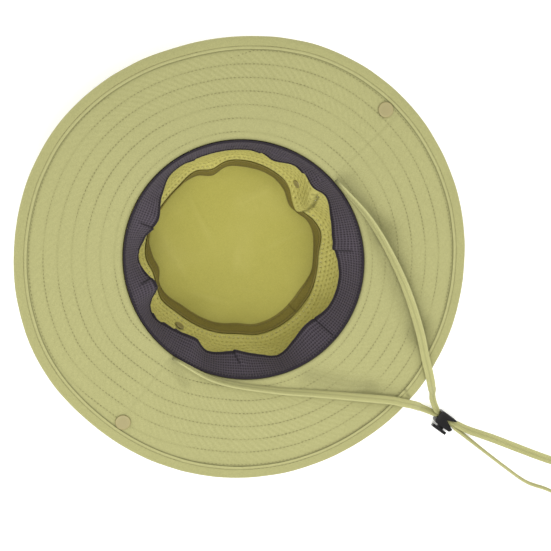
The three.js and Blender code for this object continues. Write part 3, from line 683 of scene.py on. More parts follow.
brim = {
    "columns": 560,
    "rows": 104,
    "underRows": 12,
    "firstRow": 0.075,      # stitch rows as shares of the brim's width
    "rowPitch": 0.131,
    "lastRow": 6,
    "slant": 34,            # degrees that the puckers lean over the brim's width
    "edge": 1.6 * mm,       # the ply ends this far inside the binding's fold
    "spiralStart": -24.6,   # the spiral steps out by a row round the side seam
    "spiralSeam": 3.4,
    "spiralEnd": 35,
    "sideSeams": (3.4, 173.4),
    "puckerPitch": 2.35,    # degrees
    "puckers": [            # angle, half width, share, half width, height in mm
        (225, 36, 0.66, 0.28, 0.34), (45, 32, 0.47, 0.33, 0.32), (120, 60, 0.5, 0.5, 0.07),
        (320, 50, 0.5, 0.5, 0.08),
    ],
    "look": {"pitch": 0.0006, "warp": (168, 166, 115), "weft": (157, 155, 104), "gapDepth": 0.16,
             "patch": 0.09, "patchAmount": 0.035, "speck": 0.2, "worn": (188, 185, 135), "wear_and_highlight": 0.35,
             "painted_shade_and_joints": 0.32, "bump": 0.35, "sheen": 0.03},
    "stitch": {"pitch": 3.0 * mm, "length": 1.9 * mm, "width": 0.5 * mm, "rise": 0.14 * mm},
    "threadColor": (112, 107, 62),
    "threadShine": (170, 166, 116),
}
binding = {
    "width": 10 * mm,
    "columns": 560,
    "joint": 90.2,
    "stitchInset": 2.4 * mm,
    "look": {"pitch": 0.0006, "warp": (168, 166, 115), "weft": (157, 155, 104), "gapDepth": 0.16,
             "patch": 0.05, "patchAmount": 0.05, "speck": 0.2, "worn": (190, 187, 136), "wear_and_highlight": 0.3,
             "painted_shade_and_joints": 0.5, "bump": 0.35, "sheen": 0.03, "mapped": True},
    "stitch": {"pitch": 3.1 * mm, "length": 2.3 * mm, "width": 0.5 * mm, "rise": 0.22 * mm},
}


brimWidth = hat["brimWidth"] / mm   # for details given in mm


def spiralShift(angle):
    # how far the stitch rows stand out of a plain circle, as a share of the brim
    before = np.mod(angle - brim["spiralStart"], 360)
    after = np.mod(angle - brim["spiralSeam"], 360)
    half = brim["rowPitch"] / 2
    comingUp = before < brim["spiralSeam"] - brim["spiralStart"]
    goingOn = after < brim["spiralEnd"] - brim["spiralSeam"]
    shift = np.where(comingUp, -half * smoothStep(before / (brim["spiralSeam"] - brim["spiralStart"])), 0)
    return np.where(goingOn & ~comingUp,
                    half * (1 - smoothStep(after / (brim["spiralEnd"] - brim["spiralSeam"]))), shift)


def bindingStart(angle):
    return 1 - binding["width"] / brimReach(angle)


def rowDistance(angle, share):
    # distance to the nearest stitch row in metres
    place = (share - brim["firstRow"] - spiralShift(angle)) / brim["rowPitch"]
    nearest = np.clip(np.round(place), 0, brim["lastRow"])
    return np.abs(place - nearest) * brim["rowPitch"] * brimReach(angle)


def brimDetail(angle, share):
    # quilting, puckers and seams in metres, above the plain brim
    distance = rowDistance(angle, share) / mm
    rise = -0.09 * dent(distance, 0.8) - 0.03 * dent(distance, 2.4)
    for middle, half, shareMiddle, shareHalf, height in brim["puckers"]:
        window = dent(angleBetween(angle, middle), half) * dent(share - shareMiddle, shareHalf)
        wave = np.sin(2 * math.pi * (angle - brim["slant"] * share) / brim["puckerPitch"])
        rise = rise + height * window * wave * (1 - 0.75 * dent(distance, 1.2))
    for seam in brim["sideSeams"]:
        radius = (openingRadius(angle) + brimReach(angle) * share) / mm
        side = np.radians(angleBetween(angle, seam)) * radius
        rise = rise - 0.1 * dent(side, 0.9) + 0.07 * dent(side - 3, 1.6) + 0.07 * dent(side + 3, 1.6)
    edge = smoothStep((bindingStart(angle) - share) * brimWidth / 3)
    return rise * mm * (0.15 + 0.85 * edge)


def brimPoint(angle, share, lift=0.0):
    radius = openingRadius(angle) + brimReach(angle) * share
    height = brimHeight(angle, share) + brimDetail(angle, share) + lift
    return onRound(radius, angle, height)


def makeBrim():
    angle = np.arange(brim["columns"]) * 360 / brim["columns"]
    inner = bindingStart(angle)
    end = 1 - brim["edge"] / brimReach(angle)
    ramp = np.linspace(0, 1, brim["rows"] - 3)[:, None]
    above = np.vstack([ramp * inner, inner + (end - inner) * np.array([[0.3], [0.65], [1]])])[::-1]
    below = np.linspace(0, 1, brim["underRows"])[:, None] * end
    share = np.vstack([below, above])
    angles = np.broadcast_to(angle, share.shape)
    radius = openingRadius(angles) + brimReach(angles) * share
    height = brimHeight(angles, share)
    flat = onRound(radius, angles, height)
    under = len(below)
    detail = brimDetail(angles, share)
    soft = 0.45 * mm * unevenness(flat[under:], 0.035, 3) + 0.16 * mm * unevenness(flat[under:], 0.009, 5)
    fade = smoothStep(share[under:] / 0.06) * smoothStep((inner - share[under:]) * brimWidth / 3)
    height[under:] += detail[under:] + soft * fade
    height[:under] -= hat["brimCloth"] * 0.97
    height[:under] += detail[:under] * 0.4
    # painted shade in the stitch furrows, along the side seams, in the valleys, beside the binding and at the
    # opening seam
    painted_shade_and_joints = dent(rowDistance(angles, share) / mm, 0.8)
    side = np.minimum(*(np.abs(angleBetween(angles, seam)) for seam in brim["sideSeams"])) * 2.3
    painted_shade_and_joints = np.maximum(painted_shade_and_joints * 0.2, dent(side, 0.8) * 0.22)
    painted_shade_and_joints = np.maximum(painted_shade_and_joints, np.minimum(0.6, valleyDepth(angles, share) / mm * 0.2))
    painted_shade_and_joints = np.maximum(painted_shade_and_joints, dent((inner - share) * brimWidth, 1.0))
    painted_shade_and_joints = np.maximum(painted_shade_and_joints, dent(share * brimWidth, 1.4))
    # raised puckers lighter: rubbed wear and painted highlight
    wear_and_highlight = np.clip(detail / mm * 2.4 + 0.2, 0, 1)
    made = makeRing("brim_ply", radius, height, 1.0, {"painted_shade_and_joints": painted_shade_and_joints, "wear_and_highlight": wear_and_highlight})
    made.data.materials.append(wovenCloth("brim_cotton", brim["look"]))
    return made


def spiralLines():
    # one line for each round of the spiral, from just past the seam to just before it
    angle = brim["spiralSeam"] + np.linspace(0.2, 359.8, 2400)
    lines = []
    for index in range(-1, 8):
        share = brim["firstRow"] + brim["rowPitch"] * index + spiralShift(angle)
        keep = (share > 0.035) & (share < bindingStart(angle) - 0.012)
        if keep.sum() > 30:
            lines.append((brimPoint(angle[keep], share[keep], 0.06 * mm), (0, 0, 1)))
    return lines


def threadMaterial(name, color, worn):
    made, tree, shader = newMaterial(name)
    place = addNode(tree, "ShaderNodeTexCoord")
    dye = useGroup(tree, "dye", {"Vector": place.outputs["Object"], "Color": shade(*color),
                                 "Patch Size": 0.01, "Amount": 0.1, "Speck Amount": 0.25})
    # diagonal twist bands mixed towards the lighter shine colour: painted sheen on the thread
    twist = addNode(tree, "ShaderNodeTexWave", {"Vector": place.outputs["Object"], "Scale": 1500.0,
                                                "Distortion": 2.0}, bands_direction="DIAGONAL")
    mixed = mixColor(tree, calculate(tree, "MULTIPLY", twist.outputs["Fac"], 0.35), dye.outputs["Color"],
                     shade(*worn))
    tree.links.new(mixed, shader.inputs["Base Color"])
    bump = addNode(tree, "ShaderNodeBump", {"Height": twist.outputs["Fac"], "Strength": 0.3,
                                            "Distance": 0.0001})
    tree.links.new(bump.outputs[0], shader.inputs["Normal"])
    shader.inputs["Roughness"].default_value = 0.7
    shader.inputs["Sheen Weight"].default_value = 0.04
    return made


brimPly = makeBrim()
ride(brimPly, "brim_ply", "brim_cotton", "brim")
oliveThread = threadMaterial("olive_thread", brim["threadColor"], brim["threadShine"])
brimStitches = makeStitches("brim_stitches", spiralLines(), brim["stitch"])
brimStitches.data.materials.append(oliveThread)
ride(brimStitches, "brim_stitches", "brim_cotton")
print("brim made,", len(brimPly.data.polygons), "faces and", len(brimStitches.data.polygons), "stitch faces")


def makeBinding():
    # distance in from the edge and height above the brim, in mm, anticlockwise from the inner bottom
    section = [(10.0, -2.35), (10.2, -2.9), (9.7, -3.3), (8.3, -3.35), (7.6, -2.95), (6.9, -3.3), (4.5, -3.4),
               (2.2, -3.35), (0.9, -3.0), (0.25, -2.3), (0.0, -1.4), (0.0, -0.6), (0.3, 0.4), (1.0, 1.1),
               (2.0, 1.4), (3.4, 1.45), (5.0, 1.4), (6.3, 1.3), (7.1, 1.2), (7.4, 1.0), (7.6, 0.82),
               (7.8, 0.95), (8.1, 1.1), (8.8, 1.2), (9.5, 1.15), (9.95, 0.95), (10.15, 0.7), (10.0, 0.45),
               (9.0, 0.3), (1.4, 0.3), (1.1, -1.0), (1.4, -2.3), (9.0, -2.3)]
    angle = np.arange(binding["columns"]) * 360 / binding["columns"]
    inset = np.array([row[0] for row in section])[:, None] * mm * np.ones(len(angle))
    lift = np.array([row[1] for row in section])[:, None] * mm * np.ones(len(angle))
    angles = np.broadcast_to(angle, inset.shape)
    share = 1 - inset / brimReach(angles)
    radius = openingRadius(angles) + brimReach(angles) * share
    height = brimHeight(angles, share) + lift
    spots = onRound(radius, angles, height)
    outer = slice(0, 27)
    soft = 0.28 * mm * unevenness(spots[outer], 0.014, 9) + 0.2 * mm * unevenness(spots[outer], 0.004, 11)
    height[outer] += soft
    radius[outer] += 0.25 * mm * unevenness(spots[outer], 0.02, 13)
    along = angleBetween(angles, binding["joint"]) * 3.05 - inset / mm * 0.35   # slanted end of the lap
    lap = smoothStep(along / 0.8 + 0.5) * smoothStep((9 - along) / 4)
    sign = np.where(np.arange(len(section))[:, None] < 11, -1, 1)
    height[outer] += (0.32 * mm * lap * sign)[outer]
    painted_shade_and_joints = np.zeros_like(radius)
    wear_and_highlight = np.zeros_like(radius)
    # painted shade in the dips beside the lip and under the inner edge
    for row, amount in {4: 0.8, 20: 0.75, 19: 0.2, 21: 0.2, 26: 0.5, 27: 0.8, 28: 1, 0: 1}.items():
        painted_shade_and_joints[row] = amount
    # outer fold and lip lighter: rubbed wear and painted highlight
    for row, amount in {10: 0.7, 11: 0.9, 12: 0.8, 13: 0.4, 22: 0.4, 23: 0.8, 24: 0.9, 25: 0.5}.items():
        wear_and_highlight[row] = amount
    # darker along the lap's slanted end
    painted_shade_and_joints = np.maximum(painted_shade_and_joints, dent(along, 0.9) * 0.9)
    made = makeRing("binding_tape", radius, height, 1.08, {"painted_shade_and_joints": painted_shade_and_joints, "wear_and_highlight": wear_and_highlight})
    made.data.materials.append(wovenCloth("binding_cotton", binding["look"]))
    return made


def bindingLine(inset, lift):
    angle = np.linspace(0, 360, 1600)
    share = 1 - inset / brimReach(angle)
    radius = openingRadius(angle) + brimReach(angle) * share
    height = brimHeight(angle, share) + lift
    return onRound(radius, angle, height)


bindingTape = makeBinding()
ride(bindingTape, "binding_tape", "brim_cotton", "brim_binding")
seamInset = binding["width"] - binding["stitchInset"]
bindingStitches = makeStitches("binding_stitches", [
    (bindingLine(seamInset, 0.85 * mm), (0, 0, 1)), (bindingLine(seamInset, -3.15 * mm), (0, 0, -1)),
], binding["stitch"])
bindingStitches.data.materials.append(oliveThread)
ride(bindingStitches, "binding_stitches", "brim_cotton")
print("binding made")

# Crown: flat top, pierced wall and the tape over their seam

crown = {
    "topColumns": 300,
    "topRows": 44,
    "creases": [            # soft folds: from, to and height, all in mm
        ((-10, -58), (8, -16), 0.9), ((30, -50), (44, -12), 0.8), ((52, -6), (36, 30), 0.9),
        ((10, 50), (24, 22), 0.7), ((-46, 34), (-14, 20), 0.8), ((-60, -8), (-30, -20), 0.7),
        ((-6, 4), (16, 14), 0.5),
    ],
    "meanRadius": 84 * mm,
    "cells": 120,           # pin holes round the wall and up it
    "cellRows": 19,
    "hole": 0.38 * mm,
    "meshCloth": 0.55 * mm,
    "gatherAt": 162,        # degrees; the cells are drawn together beside the flap
    "topLook": {"pitch": 0.0006, "warp": (184, 178, 94), "weft": (174, 168, 86), "gapDepth": 0.16,
                "patch": 0.05, "patchAmount": 0.04, "speck": 0.12, "worn": (208, 201, 128), "wear_and_highlight": 0.3,
                "painted_shade_and_joints": 0.35, "bump": 0.35, "sheen": 0.03},
    "wallLook": {"pitch": 0.0006, "warp": (217, 210, 126), "weft": (206, 199, 115), "gapDepth": 0.18,
                 "patch": 0.03, "patchAmount": 0.06, "speck": 0.2, "worn": (224, 218, 142), "wear_and_highlight": 0.3,
                 "painted_shade_and_joints": 0.6, "bump": 0.35, "sheen": 0.03, "mapped": True},
}
tape = {
    "width": 10.5 * mm,
    "cloth": 1.2 * mm,
    "columns": 420,
    "joint": 85,
    "look": {"pitch": 0.0008, "warp": (139, 128, 64), "weft": (122, 111, 52), "gapDepth": 0.3,
             "patch": 0.02, "patchAmount": 0.09, "speck": 0.25, "worn": (150, 140, 84), "wear_and_highlight": 0.5,
             "painted_shade_and_joints": 0.5, "bump": 0.5, "sheen": 0.03, "mapped": True},
    "stitch": {"pitch": 3.0 * mm, "length": 2.2 * mm, "width": 0.42 * mm, "rise": 0.2 * mm},
    "threadColor": (92, 84, 44),
    "threadShine": (140, 130, 80),
}


def makeCrownTop():
    angle = np.arange(crown["topColumns"]) * 360 / crown["topColumns"]
    edge = topRadius(angle) - 0.2 * mm
    ramp = np.linspace(0.01, 1, crown["topRows"])[:, None]
    radius = np.vstack([ramp[::6] * edge, edge[None], (ramp * edge)[::-1]])
    under = len(ramp[::6]) + 1
    angles = np.broadcast_to(angle, radius.shape)
    flat = onRound(radius, angles, radius * 0)
    height = np.zeros_like(radius)
    share = radius / edge
    swell = 1.1 * mm * (unevenness(flat[under:], 0.045, 21) + 0.35)
    swell = swell + 0.25 * mm * unevenness(flat[under:], 0.012, 23)
    for (x0, y0), (x1, y1), rise in crown["creases"]:
        x, y = flat[under:, :, 0] / mm, flat[under:, :, 1] / mm
        run = np.hypot(x1 - x0, y1 - y0)
        along = ((x - x0) * (x1 - x0) + (y - y0) * (y1 - y0)) / run**2
        side = ((x - x0) * (y1 - y0) - (y - y0) * (x1 - x0)) / run
        swell = swell + rise * mm * dent(side + 2.5 * (along - 0.5) ** 2, 3.2) * dent(along - 0.5, 0.45)
    gathers = 0.3 * mm * unevenness(flat[under:], 0.006, 25) * smoothStep((share[under:] - 0.7) / 0.3)
    lifted = np.maximum(0, swell) * smoothStep((1.02 - share[under:]) / 0.25)
    height[under:] = hat["topCloth"] + lifted + gathers * 0.5
    # painted shade round the edge where the tape stands; raised swells lighter with rubbed wear and painted
    # highlight
    made = makeRing("crown_top_cloth", radius, height, 1.0, {
        "painted_shade_and_joints": dent((1 - share) * hat["crownTop"] / 2 / mm, 3),
        "wear_and_highlight": np.clip(height / mm - 1.8, 0, 1) * 0.6}, closed=False)
    shape = bmesh.new()
    shape.from_mesh(made.data)
    bmesh.ops.holes_fill(shape, edges=[edge for edge in shape.edges if len(edge.link_faces) == 1], sides=0)
    shape.to_mesh(made.data)
    shape.free()
    made.data.materials.append(wovenCloth("crown_cotton", crown["topLook"]))
    return made


def makeCrownWall():
    # half-cell lattice; every cell of it is a square of cloth round one pin hole
    cells, rows = crown["cells"], crown["cellRows"]
    start = hat["topCloth"] + hat["gap"]
    tall = hat["crownDepth"] - hat["brimCloth"] - hat["gap"] - start
    cellTall = tall / rows
    ringIndex = [(-1, -1), (0, -1), (1, -1), (1, 0), (1, 1), (0, 1), (-1, 1), (-1, 0)]
    lattice = {}
    spots, faces, sheet = [], [], []

    def cornerAt(column, row):
        key = (column % (2 * cells), row)
        if key not in lattice:
            lattice[key] = len(spots)
            spots.append((column % (2 * cells), row))
        return lattice[key]

    plain = []
    holes = []
    for row in range(rows):
        for cell in range(cells):
            middle = (2 * cell + 1 + row % 2, 2 * row + 1)
            corners = [cornerAt(middle[0] + du, middle[1] + dv) for du, dv in ringIndex]
            if row in (0, rows - 1):
                plain.append((corners, middle))
            else:
                holes.append((corners, middle))
    cornerCount = len(spots)
    width = math.pi * crown["meanRadius"] / cells   # of half a cell
    for corners, middle in holes:
        for du, dv in ringIndex:
            length = math.hypot(du, dv)
            spots.append((middle[0] + du / length * crown["hole"] / width,
                          middle[1] + dv / length * crown["hole"] / (cellTall / 2)))
    spots = np.array(spots, float)
    angle = spots[:, 0] * 180 / cells
    past = angleBetween(angle, crown["gatherAt"])
    angle = angle - 0.6 * past * dent(past, 9)
    share = spots[:, 1] / (2 * rows)
    radius = wallRadius(angle, share)
    height = start + tall * share
    flat = onRound(radius, angle, height)
    hold = smoothStep((share - 0.09) / 0.12) * smoothStep((1 - share) / 0.08)
    soft = 0.9 * mm * unevenness(flat, 0.022, 31) + 0.35 * mm * unevenness(flat, 0.009, 33)
    radius = radius + soft * hold - flapRise(angle, share)
    count = len(spots)
    inside = onRound(radius, angle, height)
    thick = crown["meshCloth"]
    closed = flapRise(angle, share) * (1 - smoothStep((share - 0.1) / 0.08))   # covers the tape from outside
    outer = radius + thick + closed
    outside = onRound(outer, angle, height)
    uv = np.stack([spots[:, 0] * width, height], -1)

    def addFace(indices, middle):
        faces.append(indices)
        for index in indices:
            u, v = uv[index % count]
            if middle[0] * width - u > 0.2:
                u += 2 * cells * width
            sheet.append((u, v))

    for corners, middle in plain:
        addFace(corners[::-1], middle)
        addFace([index + count for index in corners], middle)
    for number, (corners, middle) in enumerate(holes):
        rim = [cornerCount + number * 8 + step for step in range(8)]
        for step in range(8):
            after = (step + 1) % 8
            addFace([corners[after], corners[step], rim[step], rim[after]], middle)
            turned = [corners[step], corners[after], rim[after], rim[step]]
            addFace([index + count for index in turned], middle)
            addFace([rim[after], rim[step], rim[step] + count, rim[after] + count], middle)
    for row in (0, 2 * rows):
        for column in range(2 * cells):
            a, b = cornerAt(column, row), cornerAt(column + 1, row)
            edge = [a, b, b + count, a + count]
            addFace(edge if row else edge[::-1], (column, row))
    # painted shade round the pin holes, at the foot, along the flap's edge and on its side; lighter where
    # unevenness pushes the wall inward, rubbed wear and painted highlight
    holeRimShade = np.zeros(count)
    holeRimShade[cornerCount:] = 0.09
    line = np.interp(share, *zip(*wallFlap["line"]))
    edge = dent((angleBetween(angle, line) + 0.6) * 1.4, 0.9) * smoothStep((0.6 - share) / 0.1)
    shaded = flapRise(angle, share) / wallFlap["stand"] * 0.22
    painted_shade_and_joints = np.maximum.reduce([holeRimShade, dent(share, 0.03) * 0.35, np.minimum(edge * 1.3, 1), shaded])
    wear_and_highlight = np.clip(soft / mm * -0.5, 0, 1)
    made = makeObject("crown_wall_mesh", np.vstack([inside, outside]), faces, sheet,
                      {"painted_shade_and_joints": np.tile(painted_shade_and_joints, 2), "wear_and_highlight": np.tile(wear_and_highlight, 2)})
    made.data.materials.append(wovenCloth("crown_wall_cotton", crown["wallLook"]))
    return made


def tapeSection(angle):
    lap = tape["width"] * around(seamWaves, "lap", angle)
    rise = np.sqrt(tape["width"] ** 2 - lap ** 2)
    foot = np.stack([topRadius(angle) - lap, np.full_like(angle, hat["topCloth"] + hat["gap"])], -1)
    tall = hat["crownDepth"] - hat["brimCloth"] - hat["topCloth"] - 2 * hat["gap"]
    wall = np.minimum(wallRadius(angle, 0 * angle), wallRadius(angle, rise / tall))
    head = np.stack([np.minimum(wall, foot[:, 0] + lap) - hat["gap"], foot[:, 1] + rise], -1)
    along = (head - foot) / np.linalg.norm(head - foot, axis=1, keepdims=True)
    out = np.stack([-along[:, 1], along[:, 0]], -1)
    return foot, head, out


def makeTape():
    angle = np.arange(tape["columns"]) * 360.0 / tape["columns"]
    foot, head, out = tapeSection(angle)
    # share across the tape and height off its underside in mm
    section = [(0.0, 0.1), (0.5, 0.0), (1.0, 0.1), (1.02, 0.5), (0.985, 0.95), (0.9, 1.1), (0.82, 0.85),
               (0.74, 1.12), (0.5, 1.2), (0.26, 1.12), (0.18, 0.85), (0.1, 1.1), (0.015, 0.95), (-0.02, 0.5)]
    rows = np.array([foot + (head - foot) * share + out * lift * mm for share, lift in section])
    past = np.mod(angle - tape["joint"], 360)
    joint = smoothStep((past + 0.3) / 0.6) * smoothStep((8 - past) / 3)
    rows[3:] += (out * 0.35 * mm * joint[:, None])[None]
    spots = onRound(rows[..., 0], angle, rows[..., 1])
    soft = 0.25 * mm * unevenness(spots, 0.008, 41)
    soft[:3] = 0
    rows = rows + out[None] * soft[..., None]
    # painted shade along the two stitch lines and at the edges, and darker across the joint; ridges by the
    # edges lighter with rubbed wear and painted highlight
    painted_shade_and_joints = np.zeros(rows.shape[:2])
    painted_shade_and_joints[[6, 10]] = 0.4
    painted_shade_and_joints[[0, 2, 3, 13]] = 0.3
    painted_shade_and_joints = np.maximum(painted_shade_and_joints, dent(angleBetween(angle, tape["joint"]) * 1.2, 0.6)[None] * 0.9)
    wear_and_highlight = np.zeros(rows.shape[:2])
    wear_and_highlight[[4, 5, 11, 12]] = 0.7
    made = makeRing("seam_tape_cloth", rows[..., 0], rows[..., 1], 0.45, {"painted_shade_and_joints": painted_shade_and_joints, "wear_and_highlight": wear_and_highlight})
    made.data.materials.append(wovenCloth("tape_cotton", tape["look"]))
    return made


def tapeLines():
    angle = np.linspace(0, 360, 900)
    foot, head, out = tapeSection(angle)

    def upAt(spots):
        turn = np.degrees(np.arctan2(spots[:, 1], spots[:, 0]))
        raised = tapeSection(turn)[2]
        return onRound(raised[:, 0], turn, raised[:, 1])

    rows = [foot + (head - foot) * share + out * 0.95 * mm for share in (0.18, 0.82)]
    return [(onRound(row[:, 0], angle, row[:, 1]), upAt) for row in rows]


crownTop = makeCrownTop()
ride(crownTop, "crown_top_cloth", "crown_cotton", "crown_top")
crownWall = makeCrownWall()
ride(crownWall, "crown_wall_mesh", "crown_cotton", "crown_wall")
seamTape = makeTape()
ride(seamTape, "seam_tape_cloth", "seam_tape", "seam_tape")
darkThread = threadMaterial("dark_olive_thread", tape["threadColor"], tape["threadShine"])
tapeStitches = makeStitches("tape_stitches", tapeLines(), tape["stitch"])
tapeStitches.data.materials.append(darkThread)
ride(tapeStitches, "tape_stitches", "seam_tape")
print("crown made,", len(crownWall.data.polygons), "wall faces")

# Sweatband: waffle knit sewn in at the opening

band = {
    "width": 31 * mm,
    "cloth": 1.8 * mm,
    "rise": 0.6 * mm,
    "curl": 1.15,
    "columns": 1040,
    "rows": 48,
    "knitAround": 2.1 * mm,
    "knitDown": 3.3 * mm,
    "knitDepth": 0.5 * mm,
    "girth": 0.5832,
    "backRows": 8,
    "joint": 90,
    # one yarn: the dark ground is painted shade in the sunken squares, the light rib painted light on the
    # raised ribs
    "ground": (30, 25, 31),
    "rib": (90, 82, 92),
    "folds": [   # angle at the sewn edge and at the free edge, share where it starts, depth in mm
        (134.6, 134.2, 0.25, 1.5), (290, 292, 0.3, 1.3), (168, 184, 0.3, 1.5), (10, 358, 0.35, 1.1),
        (326, 323, 0.4, 0.9), (44, 36, 0.4, 1.0), (200, 210, 0.45, 0.8), (238, 246, 0.5, 0.7),
    ],
    "ribStitch": {"pitch": 2.4 * mm, "length": 3.2 * mm, "width": 0.6 * mm, "rise": 0.3 * mm},
    "threadColor": (66, 60, 66),
    "threadShine": (100, 93, 100),
}


def bandPoint(angle, share, off):
    # share runs from the sewn edge to the free one, off is the distance in from the outer face
    stand = band["width"] * around(bandWaves, "stand", angle)
    fall = np.sqrt(band["width"] ** 2 - stand**2)
    lean = stand - band["cloth"] - hat["gap"]
    radius = openingRadius(angle) - hat["gap"] - lean * share ** band["curl"] - off
    return radius, hat["crownDepth"] + band["rise"] - fall * share


def makeBand():
    angle = np.arange(band["columns"]) * 360.0 / band["columns"]
    along = angle / 360 * band["girth"]
    rows = band["rows"]
    back = band["backRows"]
    share = np.concatenate([np.linspace(1, 0, back), np.linspace(0, 1, rows)])[:, None] * np.ones(len(angle))
    off = np.concatenate([np.zeros(back), np.full(rows, band["cloth"])])[:, None] * np.ones(len(angle))
    down = share * band["width"]
    ribs = np.maximum(np.abs(np.cos(math.pi * along[None] / band["knitAround"])) ** 5,
                      np.abs(np.cos(math.pi * down / band["knitDown"])) ** 5)
    hemmed = smoothStep((0.93 - share) / 0.03) * smoothStep((share - 0.035) / 0.03)
    knit = (ribs - 1) * band["knitDepth"] * hemmed
    hems = 0.35 * mm * dent(share - 0.965, 0.03) + 0.2 * mm * dent(share - 0.02, 0.02)
    seams = 0.45 * mm * dent(share - 0.925, 0.012) + 0.2 * mm * dent(share - 0.075, 0.012)
    off[back:] += (knit + hems - seams)[back:]
    # rounded free and sewn edges
    for row, part in ((0, 0.35), (back - 1, 0.15), (back, 0.5), (-1, 0.8)):
        off[row] = band["cloth"] * part
    angles = np.broadcast_to(angle, share.shape)
    radius, height = bandPoint(angles, share, off)
    spots = onRound(radius, angles, height)
    sag = smoothStep((share - 0.15) / 0.5)
    soft = (1.1 * mm * unevenness(spots, 0.02, 51) + 0.4 * mm * unevenness(spots, 0.008, 53)) * sag
    radius = radius - np.maximum(soft, -0.2 * mm)
    foldShade = np.zeros_like(radius)
    for sewn, free, start, depth in band["folds"]:
        side = angleBetween(angles, sewn + (free - sewn) * share) * 1.4
        shown = smoothStep((share - start) / 0.25) * (off > band["cloth"] * 0.4)
        radius = radius - depth * mm * smoothStep(side / 1.2 + 0.5) * (1 - smoothStep(side / 9)) * shown
        foldShade = np.maximum(foldShade, dent(side + 0.3, 0.8) * shown)
    jointSide = angleBetween(angles, band["joint"]) * 1.5
    radius = radius + 0.7 * mm * dent(jointSide, 0.8) * (off > band["cloth"] * 0.4)
    # darker across the joint; painted shade in the seam furrows and along the folds
    painted_shade_and_joints = np.maximum(dent(jointSide, 0.7) * 0.9, dent(share - 0.925, 0.015) * 0.6)
    painted_shade_and_joints = np.maximum(painted_shade_and_joints, dent(share - 0.075, 0.015) * 0.3)
    painted_shade_and_joints = np.maximum(painted_shade_and_joints, foldShade * 0.9)
    # ribs and the rolled free edge lighter: painted light on the raised knit
    wear_and_highlight = np.clip(ribs * hemmed + dent(share - 0.985, 0.02) * 0.3, 0, 1)
    return makeRing("sweatband_knit", radius, height, band["girth"], {"painted_shade_and_joints": painted_shade_and_joints, "wear_and_highlight": wear_and_highlight})


def knitMaterial():
    made, tree, shader = newMaterial("band_waffle_knit")
    place = addNode(tree, "ShaderNodeTexCoord")
    ribs = addNode(tree, "ShaderNodeAttribute", attribute_name="wear_and_highlight")
    knit = useGroup(tree, "knit", {"Vector": place.outputs["UV"], "Pitch": 0.00056,
                                   "Ground Color": shade(*band["ground"]), "Rib Color": shade(*band["rib"])})
    # ribs take the rib colour and the sunken ground the darker one: painted light and shade on one yarn
    ridge = mixColor(tree, ribs.outputs["Fac"], shade(*band["ground"]), shade(*band["rib"]))
    both = mixColor(tree, 0.2, ridge, knit.outputs["Color"])
    dye = useGroup(tree, "dye", {"Vector": place.outputs["Object"], "Color": both, "Patch Size": 0.03,
                                 "Amount": 0.08, "Speck Amount": 0.22})
    worn = useGroup(tree, "wear_and_highlight", {"Color": dye.outputs["Color"], "Worn And Lit Color": shade(112, 105, 112),
                                   "Wear And Highlight Amount": 0.1, "Painted Shade And Joint Amount": 0.7})
    bump = addNode(tree, "ShaderNodeBump", {"Height": knit.outputs["Height"], "Strength": 0.6,
                                            "Distance": 0.00015})
    tree.links.new(worn.outputs["Color"], shader.inputs["Base Color"])
    tree.links.new(bump.outputs[0], shader.inputs["Normal"])
    shader.inputs["Roughness"].default_value = 0.95
    shader.inputs["Sheen Weight"].default_value = 0.05
    shader.inputs["Sheen Roughness"].default_value = 0.6
    shader.inputs["Specular IOR Level"].default_value = 0.15
    return made


sweatband = makeBand()
sweatband.data.materials.append(knitMaterial())
ride(sweatband, "sweatband_knit", "sweatband_knit", "sweatband")


def bandEdgeLine():
    angle = np.linspace(0, 360, 1200)
    radius, height = bandPoint(angle, np.full_like(angle, 0.045), band["cloth"] + 0.35 * mm)
    points = onRound(radius, angle, height)

    def upAt(spots):
        inward = -spots[:, :2] / np.linalg.norm(spots[:, :2], axis=1, keepdims=True)
        return np.hstack([inward * 0.75, np.full((len(spots), 1), 0.65)])

    return [(points, upAt)]


greyThread = threadMaterial("grey_thread", band["threadColor"], band["threadShine"])
bandStitches = makeStitches("band_seam_ribs", bandEdgeLine(), band["ribStitch"], turned=78)
bandStitches.data.materials.append(greyThread)
ride(bandStitches, "band_seam_ribs", "sweatband_knit")
print("sweatband made,", len(sweatband.data.polygons), "faces")

# Snaps

snaps = {
    "sides": 56,
    "color": (144, 134, 86),
    # the rubbed colour lightens the rims: rubbed enamel and painted highlight
    "rubbed_and_lit": (178, 168, 118),
    "brim": {"radius": 6.2 * mm, "cloth": 2 * mm, "gap": 0.35 * mm, "height": 1.35 * mm},
    "crown": {"radius": 4 * mm, "cloth": 1.2 * mm, "gap": 0.5 * mm, "height": 1.3 * mm},
}


def enamel():
    made, tree, shader = newMaterial("snap_enamel")
    place = addNode(tree, "ShaderNodeTexCoord")
    dye = useGroup(tree, "dye", {"Vector": place.outputs["Object"], "Color": shade(*snaps["color"]),
                                 "Patch Size": 0.005, "Amount": 0.05, "Speck Amount": 0.05})
    worn = useGroup(tree, "wear_and_highlight", {"Color": dye.outputs["Color"], "Worn And Lit Color": shade(*snaps["rubbed_and_lit"]),
                                   "Wear And Highlight Amount": 0.8, "Painted Shade And Joint Amount": 0.6})
    grain = addNode(tree, "ShaderNodeTexNoise", {"Vector": place.outputs["Object"], "Scale": 1800.0,
                                                 "Detail": 3.0})
    bump = addNode(tree, "ShaderNodeBump", {"Height": grain.outputs[0], "Strength": 0.12,
                                            "Distance": 0.00005})
    tree.links.new(worn.outputs["Color"], shader.inputs["Base Color"])
    tree.links.new(calculate(tree, "MULTIPLY_ADD", grain.outputs[0], 0.2, 0.38), shader.inputs["Roughness"])
    tree.links.new(bump.outputs[0], shader.inputs["Normal"])
    return made


